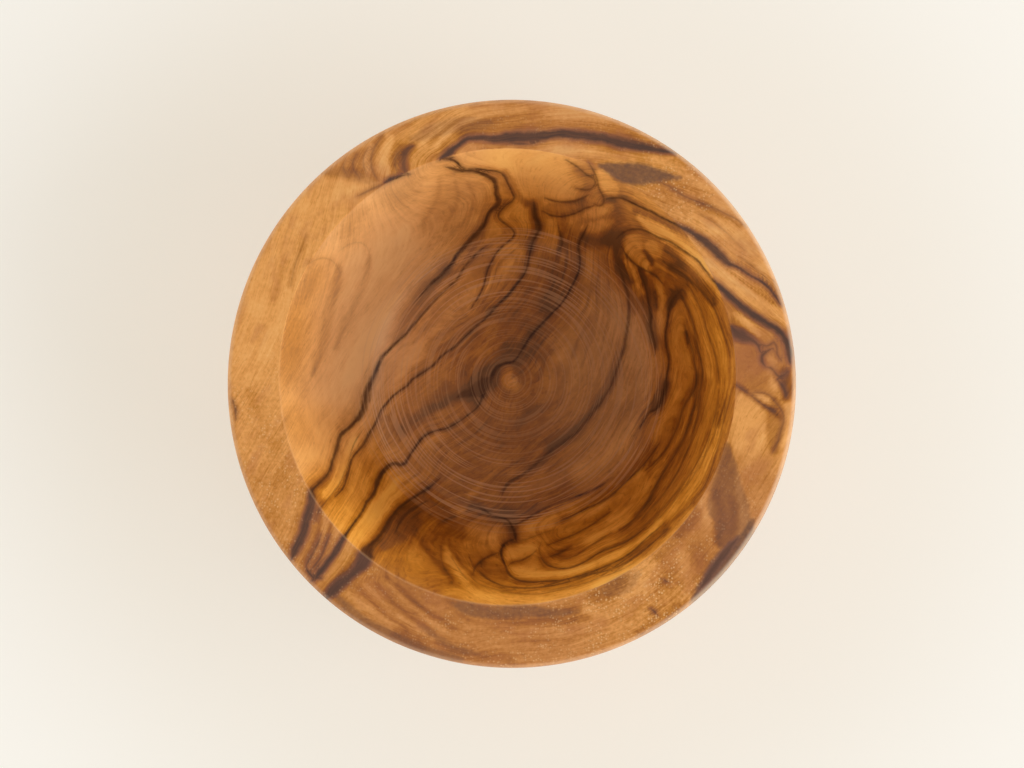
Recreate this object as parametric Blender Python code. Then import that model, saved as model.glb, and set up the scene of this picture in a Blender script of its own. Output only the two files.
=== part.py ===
# Egg cup turned from one block of olive wood: a full-bellied bowl with a broad flat rim
# and a hollow that flares to the mouth, its floor flat but for the nib that the tool left.
# Metres, +Z up. The origin is the middle of the underside, on the table.

import math

import bpy

# The hollow that holds the egg
MOUTH_DIAMETER = 0.0478       # across the inner edge of the rim
MOUTH_CHAMFER = 0.0003        # broken edge between the rim and the hollow
HOLLOW_DEPTH = 0.0220         # from the rim down to the floor
FLOOR_DIAMETER = 0.0300       # across the floor, corner to corner
FLOOR_FILLET = 0.0030         # radius of the corner between the floor and the wall
WALL_FLARE = math.radians(40) # lean of the wall where it leaves the rim, from upright
WALL_FOOT = math.radians(52)  # slope of the wall where it reaches the floor, from level
WALL_UPPER_PULL = 0.0060      # how far the wall keeps to that lean below the rim
WALL_LOWER_PULL = 0.0080      # how far it keeps to its foot slope above the floor
NIB_DIAMETER = 0.0022         # nib in the middle of the floor
NIB_HEIGHT = 0.0003

# The hollow was turned in a second chucking, so its axis stands beside the body's
HOLLOW_SHIFT_X = -0.0004
HOLLOW_SHIFT_Y = 0.0007

# The outside
RIM_WIDTH = 0.0061            # from the mouth to the widest part, seen from above
RIM_ROUNDING = 0.0006         # radius of the edge between the rim and the side
BELLY_SWELL = 0.0002          # how far the side swells out below that edge
BELLY_DROP = 0.0060           # from the rim down to the widest part
FLOOR_THICKNESS = 0.0160      # from the underside to the floor of the hollow
BASE_DIAMETER = 0.0370        # flat underside
BASE_ROUNDING = 0.0012        # radius of the edge round the underside
SIDE_FOOT = math.radians(52)  # slope of the side where it reaches the base, from level
SIDE_UPPER_PULL = 0.0150      # how far the side stays upright below the belly
SIDE_LOWER_PULL = 0.0085      # how far it keeps to its foot slope above the base

# Facets
TURN_STEPS = 96
CURVE_STEPS = 14
ROUND_STEPS = 6
SMALL_STEPS = 4

# The cutter stands this far out of the mouth, so that the cut is clean
CUTTER_OVERRUN = 0.0020
AXIS_MERGE = 0.00001
SMOOTH_LIMIT = math.radians(35)

# Finish of the oiled wood
OLIVE_WOOD = (0.48, 0.22, 0.065, 1.0)
OLIVE_WOOD_ROUGHNESS = 0.42

# Worked out from the values above
MOUTH_RADIUS = MOUTH_DIAMETER / 2
BODY_RADIUS = MOUTH_RADIUS + RIM_WIDTH
BODY_HEIGHT = FLOOR_THICKNESS + HOLLOW_DEPTH
FLOOR_RADIUS = FLOOR_DIAMETER / 2
BASE_RADIUS = BASE_DIAMETER / 2
NIB_RADIUS = NIB_DIAMETER / 2


def ray(start, angle, length):
    return (start[0] + length * math.cos(angle), start[1] + length * math.sin(angle))


def bezier(start, pull_start, pull_end, end, steps):
    points = []
    for i in range(steps + 1):
        t = i / steps
        weights = ((1 - t) ** 3, 3 * t * (1 - t) ** 2, 3 * t ** 2 * (1 - t), t ** 3)
        corners = (start, pull_start, pull_end, end)
        points.append(tuple(sum(w * c[k] for w, c in zip(weights, corners)) for k in (0, 1)))
    return points


def arc(centre, radius_x, radius_z, first, last, steps):
    points = []
    for i in range(steps + 1):
        angle = first + (last - first) * i / steps
        points.append((centre[0] + radius_x * math.cos(angle), centre[1] + radius_z * math.sin(angle)))
    return points


# Outline of the outside, from the middle of the rim's plane out, down and in to the axis
def outside_profile():
    rim = [(0, BODY_HEIGHT)]
    rounding_centre = (BODY_RADIUS - BELLY_SWELL - RIM_ROUNDING, BODY_HEIGHT - RIM_ROUNDING)
    rounding = arc(rounding_centre, RIM_ROUNDING, RIM_ROUNDING, math.pi / 2, 0, ROUND_STEPS)
    shoulder = rounding[-1]
    belly = (BODY_RADIUS, BODY_HEIGHT - BELLY_DROP)
    swell_pull = (shoulder[1] - belly[1]) / 2
    swell_start = ray(shoulder, -math.pi / 2, swell_pull)
    swell_end = ray(belly, math.pi / 2, swell_pull)
    swell = bezier(shoulder, swell_start, swell_end, belly, ROUND_STEPS)
    edge_centre = (BASE_RADIUS, BASE_ROUNDING)
    edge = arc(edge_centre, BASE_ROUNDING, BASE_ROUNDING, SIDE_FOOT - math.pi / 2, -math.pi / 2, SMALL_STEPS)
    upper = ray(belly, -math.pi / 2, SIDE_UPPER_PULL)
    lower = ray(edge[0], SIDE_FOOT, SIDE_LOWER_PULL)
    side = bezier(belly, upper, lower, edge[0], CURVE_STEPS)
    return rim + rounding + swell[1:] + side[1:-1] + edge + [(0, 0)]


# Outline of the hollow, from above the mouth down the wall and along the floor to the nib
def hollow_profile():
    floor = FLOOR_THICKNESS
    over = (MOUTH_RADIUS + MOUTH_CHAMFER + CUTTER_OVERRUN, BODY_HEIGHT + CUTTER_OVERRUN)
    top = [(0, over[1]), over]
    mouth = (MOUTH_RADIUS, BODY_HEIGHT - MOUTH_CHAMFER)
    setback = FLOOR_FILLET * math.tan(WALL_FOOT / 2)
    foot = ray((FLOOR_RADIUS, floor), WALL_FOOT, setback)
    upper = ray(mouth, -math.pi / 2 - WALL_FLARE, WALL_UPPER_PULL)
    lower = ray(foot, WALL_FOOT, WALL_LOWER_PULL)
    wall = bezier(mouth, upper, lower, foot, CURVE_STEPS)
    fillet_centre = (FLOOR_RADIUS - setback, floor + FLOOR_FILLET)
    fillet = arc(fillet_centre, FLOOR_FILLET, FLOOR_FILLET, WALL_FOOT - math.pi / 2, -math.pi / 2, SMALL_STEPS)
    nib = []
    for i in range(SMALL_STEPS + 1):
        share = 1 - i / SMALL_STEPS
        nib.append((NIB_RADIUS * share, floor + NIB_HEIGHT * (1 + math.cos(math.pi * share)) / 2))
    return top + wall[:-1] + fillet + nib


# An outline turned round its own upright axis
def turned(name, profile, x=0.0, y=0.0):
    mesh = bpy.data.meshes.new(name)
    edges = [(i, i + 1) for i in range(len(profile) - 1)]
    mesh.from_pydata([(r, 0, z) for r, z in profile], edges, [])
    obj = bpy.data.objects.new(name, mesh)
    obj.location = (x, y, 0)
    bpy.context.scene.collection.objects.link(obj)
    turn = obj.modifiers.new("turn", "SCREW")
    turn.axis = "Z"
    turn.steps = TURN_STEPS
    turn.render_steps = TURN_STEPS
    turn.use_merge_vertices = True
    turn.merge_threshold = AXIS_MERGE
    return obj


def oiled_wood():
    material = bpy.data.materials.new("oiled_olive_wood")
    material.use_nodes = True
    shader = material.node_tree.nodes["Principled BSDF"]
    shader.inputs["Base Color"].default_value = OLIVE_WOOD
    shader.inputs["Roughness"].default_value = OLIVE_WOOD_ROUGHNESS
    shader.inputs["Metallic"].default_value = 0.0
    return material


# The cup: the turned body with the hollow taken out beside its axis
def turned_cup():
    cup = turned("turned_cup", outside_profile())
    hollow = turned("hollow_cutter", hollow_profile(), HOLLOW_SHIFT_X, HOLLOW_SHIFT_Y)
    hollow.hide_render = True
    hollow.display_type = "WIRE"
    cut = cup.modifiers.new("hollow", "BOOLEAN")
    cut.operation = "DIFFERENCE"
    cut.solver = "EXACT"
    cut.object = hollow
    bpy.context.view_layer.update()
    finished = cup.evaluated_get(bpy.context.evaluated_depsgraph_get())
    mesh = bpy.data.meshes.new_from_object(finished)
    cup.modifiers.clear()
    cup.data = mesh
    mesh.shade_smooth()
    mesh.set_sharp_from_angle(angle=SMOOTH_LIMIT)
    mesh.materials.clear()
    mesh.materials.append(oiled_wood())
    return cup


def main():
    for obj in list(bpy.data.objects):
        bpy.data.objects.remove(obj, do_unlink=True)
    turned_cup()


main()
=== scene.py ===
import math

import bpy
import numpy as np
from mathutils import Matrix, Vector


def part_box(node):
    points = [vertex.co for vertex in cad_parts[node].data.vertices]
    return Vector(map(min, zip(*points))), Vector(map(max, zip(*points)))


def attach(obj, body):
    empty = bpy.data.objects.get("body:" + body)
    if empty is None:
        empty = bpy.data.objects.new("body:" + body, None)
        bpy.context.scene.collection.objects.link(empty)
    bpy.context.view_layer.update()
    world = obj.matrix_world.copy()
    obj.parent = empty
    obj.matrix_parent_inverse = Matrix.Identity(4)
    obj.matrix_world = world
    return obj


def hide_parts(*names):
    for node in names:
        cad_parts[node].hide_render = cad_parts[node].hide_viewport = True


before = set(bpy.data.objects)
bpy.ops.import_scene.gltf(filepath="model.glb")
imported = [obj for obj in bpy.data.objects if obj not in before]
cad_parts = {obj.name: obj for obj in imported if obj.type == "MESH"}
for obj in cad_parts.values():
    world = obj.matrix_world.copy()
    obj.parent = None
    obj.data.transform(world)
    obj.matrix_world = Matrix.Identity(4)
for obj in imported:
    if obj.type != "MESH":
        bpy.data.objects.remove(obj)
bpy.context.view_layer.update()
mm = 1000.0    # millimetres in a metre
cupLow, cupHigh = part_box("turned_cup")
cupHeight = cupHigh[2] - cupLow[2]
cupRadius = (cupHigh[0] - cupLow[0]) / 2
print("frame loaded: cup", round(2 * cupRadius * mm, 1), "mm wide,", round(cupHeight * mm, 1), "mm high")

# Camera: almost straight down, a long lens, the top of the picture towards +Y

shot = {
    "imageWidth": 1024,
    "imageHeight": 768,
    "eye": (0.00925, -0.00795, 0.598),
    "target": (0.0, 0.0, 0.0340),
    "up": (0.0, 1.0, 0.0),
    "lens": 187.9,
    "sensor": 36.0,
    "clip": (0.01, 20.0),
}


def aimedAt(eye, target, up):
    back = (Vector(eye) - Vector(target)).normalized()
    right = Vector(up).cross(back).normalized()
    return Matrix((right, back.cross(right), back)).transposed()


def addCamera():
    bpy.ops.object.camera_add()
    camera = bpy.context.object
    camera.name = "overhead_camera"
    camera.data.lens = shot["lens"]
    camera.data.sensor_width = shot["sensor"]
    camera.data.clip_start, camera.data.clip_end = shot["clip"]
    turn = aimedAt(shot["eye"], shot["target"], shot["up"])
    camera.matrix_world = Matrix.Translation(shot["eye"]) @ turn.to_4x4()
    bpy.context.scene.camera = camera


# Where world points fall in the photograph's frame, in pixels
def photoPixels(points):
    turn = np.array(aimedAt(shot["eye"], shot["target"], shot["up"]))
    seen = (points - np.array(shot["eye"])) @ turn
    focal = shot["lens"] / shot["sensor"] * shot["imageWidth"]
    across = shot["imageWidth"] / 2 + focal * seen[:, 0] / -seen[:, 2]
    down = shot["imageHeight"] / 2 - focal * seen[:, 1] / -seen[:, 2]
    return np.column_stack([across, down])


# Shader maths: a wire is one output socket, and an expression on wires adds its nodes


class Wire:
    def __init__(self, tree, socket=None):
        self.tree = tree
        self.socket = socket

    def node(self, kind, settings, inputs, output=0):
        added = self.tree.nodes.new(kind)
        stops = settings.get("stops")
        for name, value in settings.items():
            if name != "stops":
                setattr(added, name, value)
        if stops:
            ramp = added.color_ramp
            while len(ramp.elements) < len(stops):
                ramp.elements.new(0.5)
            for element, (place, colour) in zip(ramp.elements, stops):
                element.position = place
                element.color = (*colour, 1)
        for name, value in inputs.items():
            if isinstance(value, Wire):
                self.tree.links.new(value.socket, added.inputs[name])
            else:
                added.inputs[name].default_value = value
        return Wire(self.tree, added.outputs[output] if added.outputs else None)

    def calc(self, operation, first, second=0.0):
        return self.node("ShaderNodeMath", {"operation": operation}, {0: first, 1: second})

    def __add__(self, other):
        return self.calc("ADD", self, other)

    def __radd__(self, other):
        return self.calc("ADD", other, self)

    def __sub__(self, other):
        return self.calc("SUBTRACT", self, other)

    def __rsub__(self, other):
        return self.calc("SUBTRACT", other, self)

    def __mul__(self, other):
        return self.calc("MULTIPLY", self, other)

    def __rmul__(self, other):
        return self.calc("MULTIPLY", other, self)

    def __truediv__(self, other):
        return self.calc("DIVIDE", self, other)

    def __rtruediv__(self, other):
        return self.calc("DIVIDE", other, self)

    def __pow__(self, other):
        return self.calc("POWER", self, other)

    def __rpow__(self, other):
        return self.calc("POWER", other, self)

    def step(self, low, high):
        ends = {"Value": self, "From Min": low, "From Max": high, "To Min": 0.0, "To Max": 1.0}
        return self.node("ShaderNodeMapRange", {"interpolation_type": "SMOOTHSTEP"}, ends)

    def tint(self, other, share, blend="MIX"):
        settings = {"data_type": "RGBA", "blend_type": blend, "clamp_factor": True}
        other = other if isinstance(other, Wire) else (*other, 1)
        return self.node("ShaderNodeMix", settings, {0: share, 6: self, 7: other}, 2)


def freshMaterial(name):
    material = bpy.data.materials.new(name)
    material.use_nodes = True
    material.node_tree.nodes.clear()
    return material, Wire(material.node_tree)


# Floor, background and lamps: a light tent, bright round the sides and dim overhead

studio = {
    "floorSize": 6.0,
    "floorColour": (0.80, 0.74, 0.66),
    "paperFinish": {"Roughness": 0.9, "Specular IOR Level": 0.1},
    "paperColour": (0.49, 0.49, 0.49),
    "glowInPaintedShadow": (0.475, 0.434, 0.349),
    "glowFar": (0.527, 0.500, 0.433),
    "paintedShadowReach": (0.042, 0.075),
    "backColour": (0.922, 0.863, 0.791),
    "fadeStart": 0.12,
    "fadeEnd": 0.50,
    "skyColour": (1.0, 0.985, 0.96),
    "skyOverhead": 0.30,
    "skySides": 1.72,
    "skyRise": (0.05, 0.95),
    "lamps": {
        "window": {"place": (1.05, -0.35, 0.75), "size": 1.2, "power": 7.0},
    },
}


# The camera alone sees paler paper, lit near the cup, so its shadow shows, and even further off; close to the
# cup its glow is dimmed and warmed as a painted shadow
def addFloor():
    bpy.ops.mesh.primitive_plane_add(size=studio["floorSize"], location=(0, 0, cupLow[2]))
    floor = bpy.context.object
    floor.name = "table_top"
    material, paint = freshMaterial("cream_paper")
    matt = studio["paperFinish"]
    plain = paint.node("ShaderNodeBsdfPrincipled", {}, {**matt, "Base Color": (*studio["floorColour"], 1)})
    even = paint.node("ShaderNodeEmission", {}, {"Color": (*studio["backColour"], 1), "Strength": 1.0})
    place = paint.node("ShaderNodeTexCoord", {}, {}, "Object")
    away = paint.node("ShaderNodeVectorMath", {"operation": "LENGTH"}, {0: place}, "Value")
    # The paper's glow is dimmer and warmer close to the cup: a painted shadow round it.
    ends = {0: away.step(*studio["paintedShadowReach"]), 6: (*studio["glowInPaintedShadow"], 1), 7: (*studio["glowFar"], 1)}
    glow = paint.node("ShaderNodeMix", {"data_type": "RGBA"}, ends, 2)
    lit = {"Emission Color": glow, "Emission Strength": 1.0}
    pale = {**matt, **lit, "Base Color": (*studio["paperColour"], 1)}
    paper = paint.node("ShaderNodeBsdfPrincipled", {}, pale)
    fade = away.step(studio["fadeStart"], studio["fadeEnd"])
    seen = paint.node("ShaderNodeMixShader", {}, {0: fade, 1: paper, 2: even})
    direct = paint.node("ShaderNodeLightPath", {}, {}, "Is Camera Ray")
    both = paint.node("ShaderNodeMixShader", {}, {0: direct, 1: plain, 2: seen})
    paint.node("ShaderNodeOutputMaterial", {}, {"Surface": both})
    floor.data.materials.append(material)


def addSky():
    sky = bpy.data.worlds.new("light_tent")
    sky.use_nodes = True
    sky.node_tree.nodes.clear()
    paint = Wire(sky.node_tree)
    way = paint.node("ShaderNodeTexCoord", {}, {}, "Generated")
    rise = paint.node("ShaderNodeSeparateXYZ", {}, {0: way}, 2)
    extra = studio["skySides"] - studio["skyOverhead"]
    strength = studio["skyOverhead"] + extra * (1 - rise.step(*studio["skyRise"]))
    lit = paint.node("ShaderNodeBackground", {}, {"Color": (*studio["skyColour"], 1), "Strength": strength})
    seen = paint.node("ShaderNodeBackground", {}, {"Color": (*studio["backColour"], 1), "Strength": 1.0})
    direct = paint.node("ShaderNodeLightPath", {}, {}, "Is Camera Ray")
    both = paint.node("ShaderNodeMixShader", {}, {0: direct, 1: lit, 2: seen})
    paint.node("ShaderNodeOutputWorld", {}, {"Surface": both})
    bpy.context.scene.world = sky


def addLamps():
    for name, lamp in studio["lamps"].items():
        bpy.ops.object.light_add(type="AREA")
        obj = bpy.context.object
        obj.name = name + "_lamp"
        obj.data.shape = "DISK"
        obj.data.size = lamp["size"]
        obj.data.energy = lamp["power"]
        turn = aimedAt(lamp["place"], (0, 0, cupHeight), (0, 1, 0))
        obj.matrix_world = Matrix.Translation(lamp["place"]) @ turn.to_4x4()
    print("studio set:", len(studio["lamps"]), "lamp in a light tent")


# The cup: the outlines of part.py, turned finely enough to carry the grain

cup = {
    "mouthRadius": 0.0239,
    "chamfer": 0.0001,
    "hollowDepth": 0.0220,
    "floorRadius": 0.0150,
    "floorFillet": 0.0030,
    "wallFlare": math.radians(40),
    "wallFoot": math.radians(52),
    "wallUpperPull": 0.0060,
    "wallLowerPull": 0.0080,
    "nibRadius": 0.0011,
    "nibHeight": 0.0003,
    "hollowAxis": (-0.0004, 0.0007),
    "rimRounding": 0.0006,
    "bellySwell": 0.0002,
    "bellyDrop": 0.0060,
    "baseRadius": 0.0185,
    "baseRounding": 0.0012,
    "underShares": (0.7, 0.35, 0),
    "sideFoot": math.radians(52),
    "sideUpperPull": 0.0150,
    "sideLowerPull": 0.0085,
    "turnSteps": 720,
    "rimSteps": 20,
    "wallSteps": 42,
    "floorSteps": 30,
    "sideSteps": 18,
    "swellSteps": 3,
    "roundSteps": 5,
    "hiddenMargin": 0.0013,
    "smooth": math.radians(30),
    "merge": 0.000002,
    "seed": 0.001,
}


def ray(start, angle, length):
    return (start[0] + length * math.cos(angle), start[1] + length * math.sin(angle))


def bezier(start, pullStart, pullEnd, end, steps):
    points = []
    for i in range(steps + 1):
        t = i / steps
        weights = ((1 - t) ** 3, 3 * t * (1 - t) ** 2, 3 * t ** 2 * (1 - t), t ** 3)
        corners = (start, pullStart, pullEnd, end)
        points.append(tuple(sum(w * c[k] for w, c in zip(weights, corners)) for k in (0, 1)))
    return points


def arc(centre, radiusX, radiusZ, first, last, steps):
    points = []
    for i in range(steps + 1):
        angle = first + (last - first) * i / steps
        points.append((centre[0] + radiusX * math.cos(angle), centre[1] + radiusZ * math.sin(angle)))
    return points


# From the rim's outer edge down the swelling side and in under the base
def outsideOutline():
    steps = cup["roundSteps"]
    rounding = cup["rimRounding"]
    rimCentre = (cupRadius - cup["bellySwell"] - rounding, cupHeight - rounding)
    rimEdge = arc(rimCentre, rounding, rounding, math.pi / 2, 0, steps)
    shoulder = rimEdge[-1]
    belly = (cupRadius, cupHeight - cup["bellyDrop"])
    pull = (shoulder[1] - belly[1]) / 2
    swellStart = ray(shoulder, -math.pi / 2, pull)
    swellEnd = ray(belly, math.pi / 2, pull)
    swell = bezier(shoulder, swellStart, swellEnd, belly, cup["swellSteps"])
    foot = cup["baseRounding"]
    edge = arc((cup["baseRadius"], foot), foot, foot, cup["sideFoot"] - math.pi / 2, -math.pi / 2, steps)
    upper = ray(belly, -math.pi / 2, cup["sideUpperPull"])
    lower = ray(edge[0], cup["sideFoot"], cup["sideLowerPull"])
    side = bezier(belly, upper, lower, edge[0], cup["sideSteps"])
    under = [(cup["baseRadius"] * share, 0) for share in cup["underShares"]]
    return rimEdge + swell[1:] + side[1:-1] + edge + under


# From the mouth's broken edge down the wall and along the floor to the nib
def hollowOutline():
    floor = cupHeight - cup["hollowDepth"]
    lip = (cup["mouthRadius"] + cup["chamfer"], cupHeight)
    mouth = (cup["mouthRadius"], cupHeight - cup["chamfer"])
    setback = cup["floorFillet"] * math.tan(cup["wallFoot"] / 2)
    foot = ray((cup["floorRadius"], floor), cup["wallFoot"], setback)
    upper = ray(mouth, -math.pi / 2 - cup["wallFlare"], cup["wallUpperPull"])
    lower = ray(foot, cup["wallFoot"], cup["wallLowerPull"])
    wall = bezier(mouth, upper, lower, foot, cup["wallSteps"])
    filletCentre = (cup["floorRadius"] - setback, floor + cup["floorFillet"])
    fillet = arc(filletCentre, cup["floorFillet"], cup["floorFillet"],
                 cup["wallFoot"] - math.pi / 2, -math.pi / 2, cup["roundSteps"])
    reach = fillet[-1][0]
    flat = []
    for i in range(1, cup["floorSteps"] + 1):
        radius = reach * (1 - i / cup["floorSteps"])
        nib = 0.0
        if radius < cup["nibRadius"]:
            nib = cup["nibHeight"] * (1 + math.cos(math.pi * radius / cup["nibRadius"])) / 2
        flat.append((radius, floor + nib))
    return [lip] + wall[:-1] + fillet + flat


# The flat rim, from its outer rounding in to the mouth's broken edge
def rimOutline():
    start = cupRadius - cup["bellySwell"] - cup["rimRounding"]
    end = cup["mouthRadius"] + cup["chamfer"]
    steps = cup["rimSteps"]
    return [(start + (end - start) * i / steps, cupHeight) for i in range(1, steps)]


# One vertex is drawn along the outline, and a Screw turns the line round the upright axis
def turnedPiece(name, outline):
    bpy.ops.object.select_all(action="DESELECT")
    bpy.ops.mesh.primitive_plane_add(size=cup["seed"])
    piece = bpy.context.object
    piece.name = name
    bpy.ops.object.mode_set(mode="EDIT")
    bpy.ops.mesh.merge(type="CENTER")
    here = Vector((outline[0][0], 0, outline[0][1]))
    bpy.ops.transform.translate(value=here)
    for radius, height in outline[1:]:
        there = Vector((radius, 0, height))
        bpy.ops.mesh.extrude_vertices_move(TRANSFORM_OT_translate={"value": there - here})
        here = there
    bpy.ops.object.mode_set(mode="OBJECT")
    turn = piece.modifiers.new("turn", "SCREW")
    turn.steps = cup["turnSteps"]
    turn.render_steps = cup["turnSteps"]
    turn.use_merge_vertices = True
    turn.merge_threshold = cup["merge"]
    bpy.ops.object.modifier_apply(modifier="turn")
    return piece


# The hollow was cut in a second chucking, so it stands beside the axis of the outside
def shiftHollow(piece):
    points = np.empty(len(piece.data.vertices) * 3)
    piece.data.vertices.foreach_get("co", points)
    points = points.reshape(-1, 3)
    radius = np.hypot(points[:, 0], points[:, 1])
    rimOuter = cupRadius - cup["bellySwell"] - cup["rimRounding"]
    rimInner = cup["mouthRadius"] + cup["chamfer"]
    share = np.clip((rimOuter - radius) / (rimOuter - rimInner), 0, 1)
    share[hiddenPoints(points)] = 0
    points[:, :2] += share[:, None] * np.array(cup["hollowAxis"])
    piece.data.vertices.foreach_set("co", points.ravel())
    piece.data.update()


# True on the side and the underside, which the camera can't see
def hiddenPoints(points):
    radius = np.hypot(points[:, 0], points[:, 1])
    height = points[:, 2]
    underFloor = height < cupHeight - cup["hollowDepth"] - cup["chamfer"]
    besideHollow = (radius > cup["mouthRadius"] + cup["hiddenMargin"]) & (height < cupHeight - cup["merge"])
    return underFloor | besideHollow


def modelCup():
    outline = hollowOutline()[::-1] + rimOutline()[::-1] + outsideOutline()
    piece = turnedPiece("oiled_cup", outline)
    bpy.ops.object.mode_set(mode="EDIT")
    bpy.ops.mesh.select_all(action="SELECT")
    bpy.ops.mesh.normals_make_consistent(inside=False)
    bpy.ops.object.mode_set(mode="OBJECT")
    shiftHollow(piece)
    bpy.ops.object.shade_smooth_by_angle(angle=cup["smooth"])
    triangles = sum(len(face.vertices) - 2 for face in piece.data.polygons)
    print("cup turned:", len(piece.data.vertices), "vertices,", triangles, "triangles")
    return piece


# The grain: dark veins and soft stains, each a route given on the photograph, in its pixels
# half: half the width in pixels, dark: 0 faint to 1 black, rise: the side on which younger rings lie
# A third number at a point widens or narrows the vein there

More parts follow.
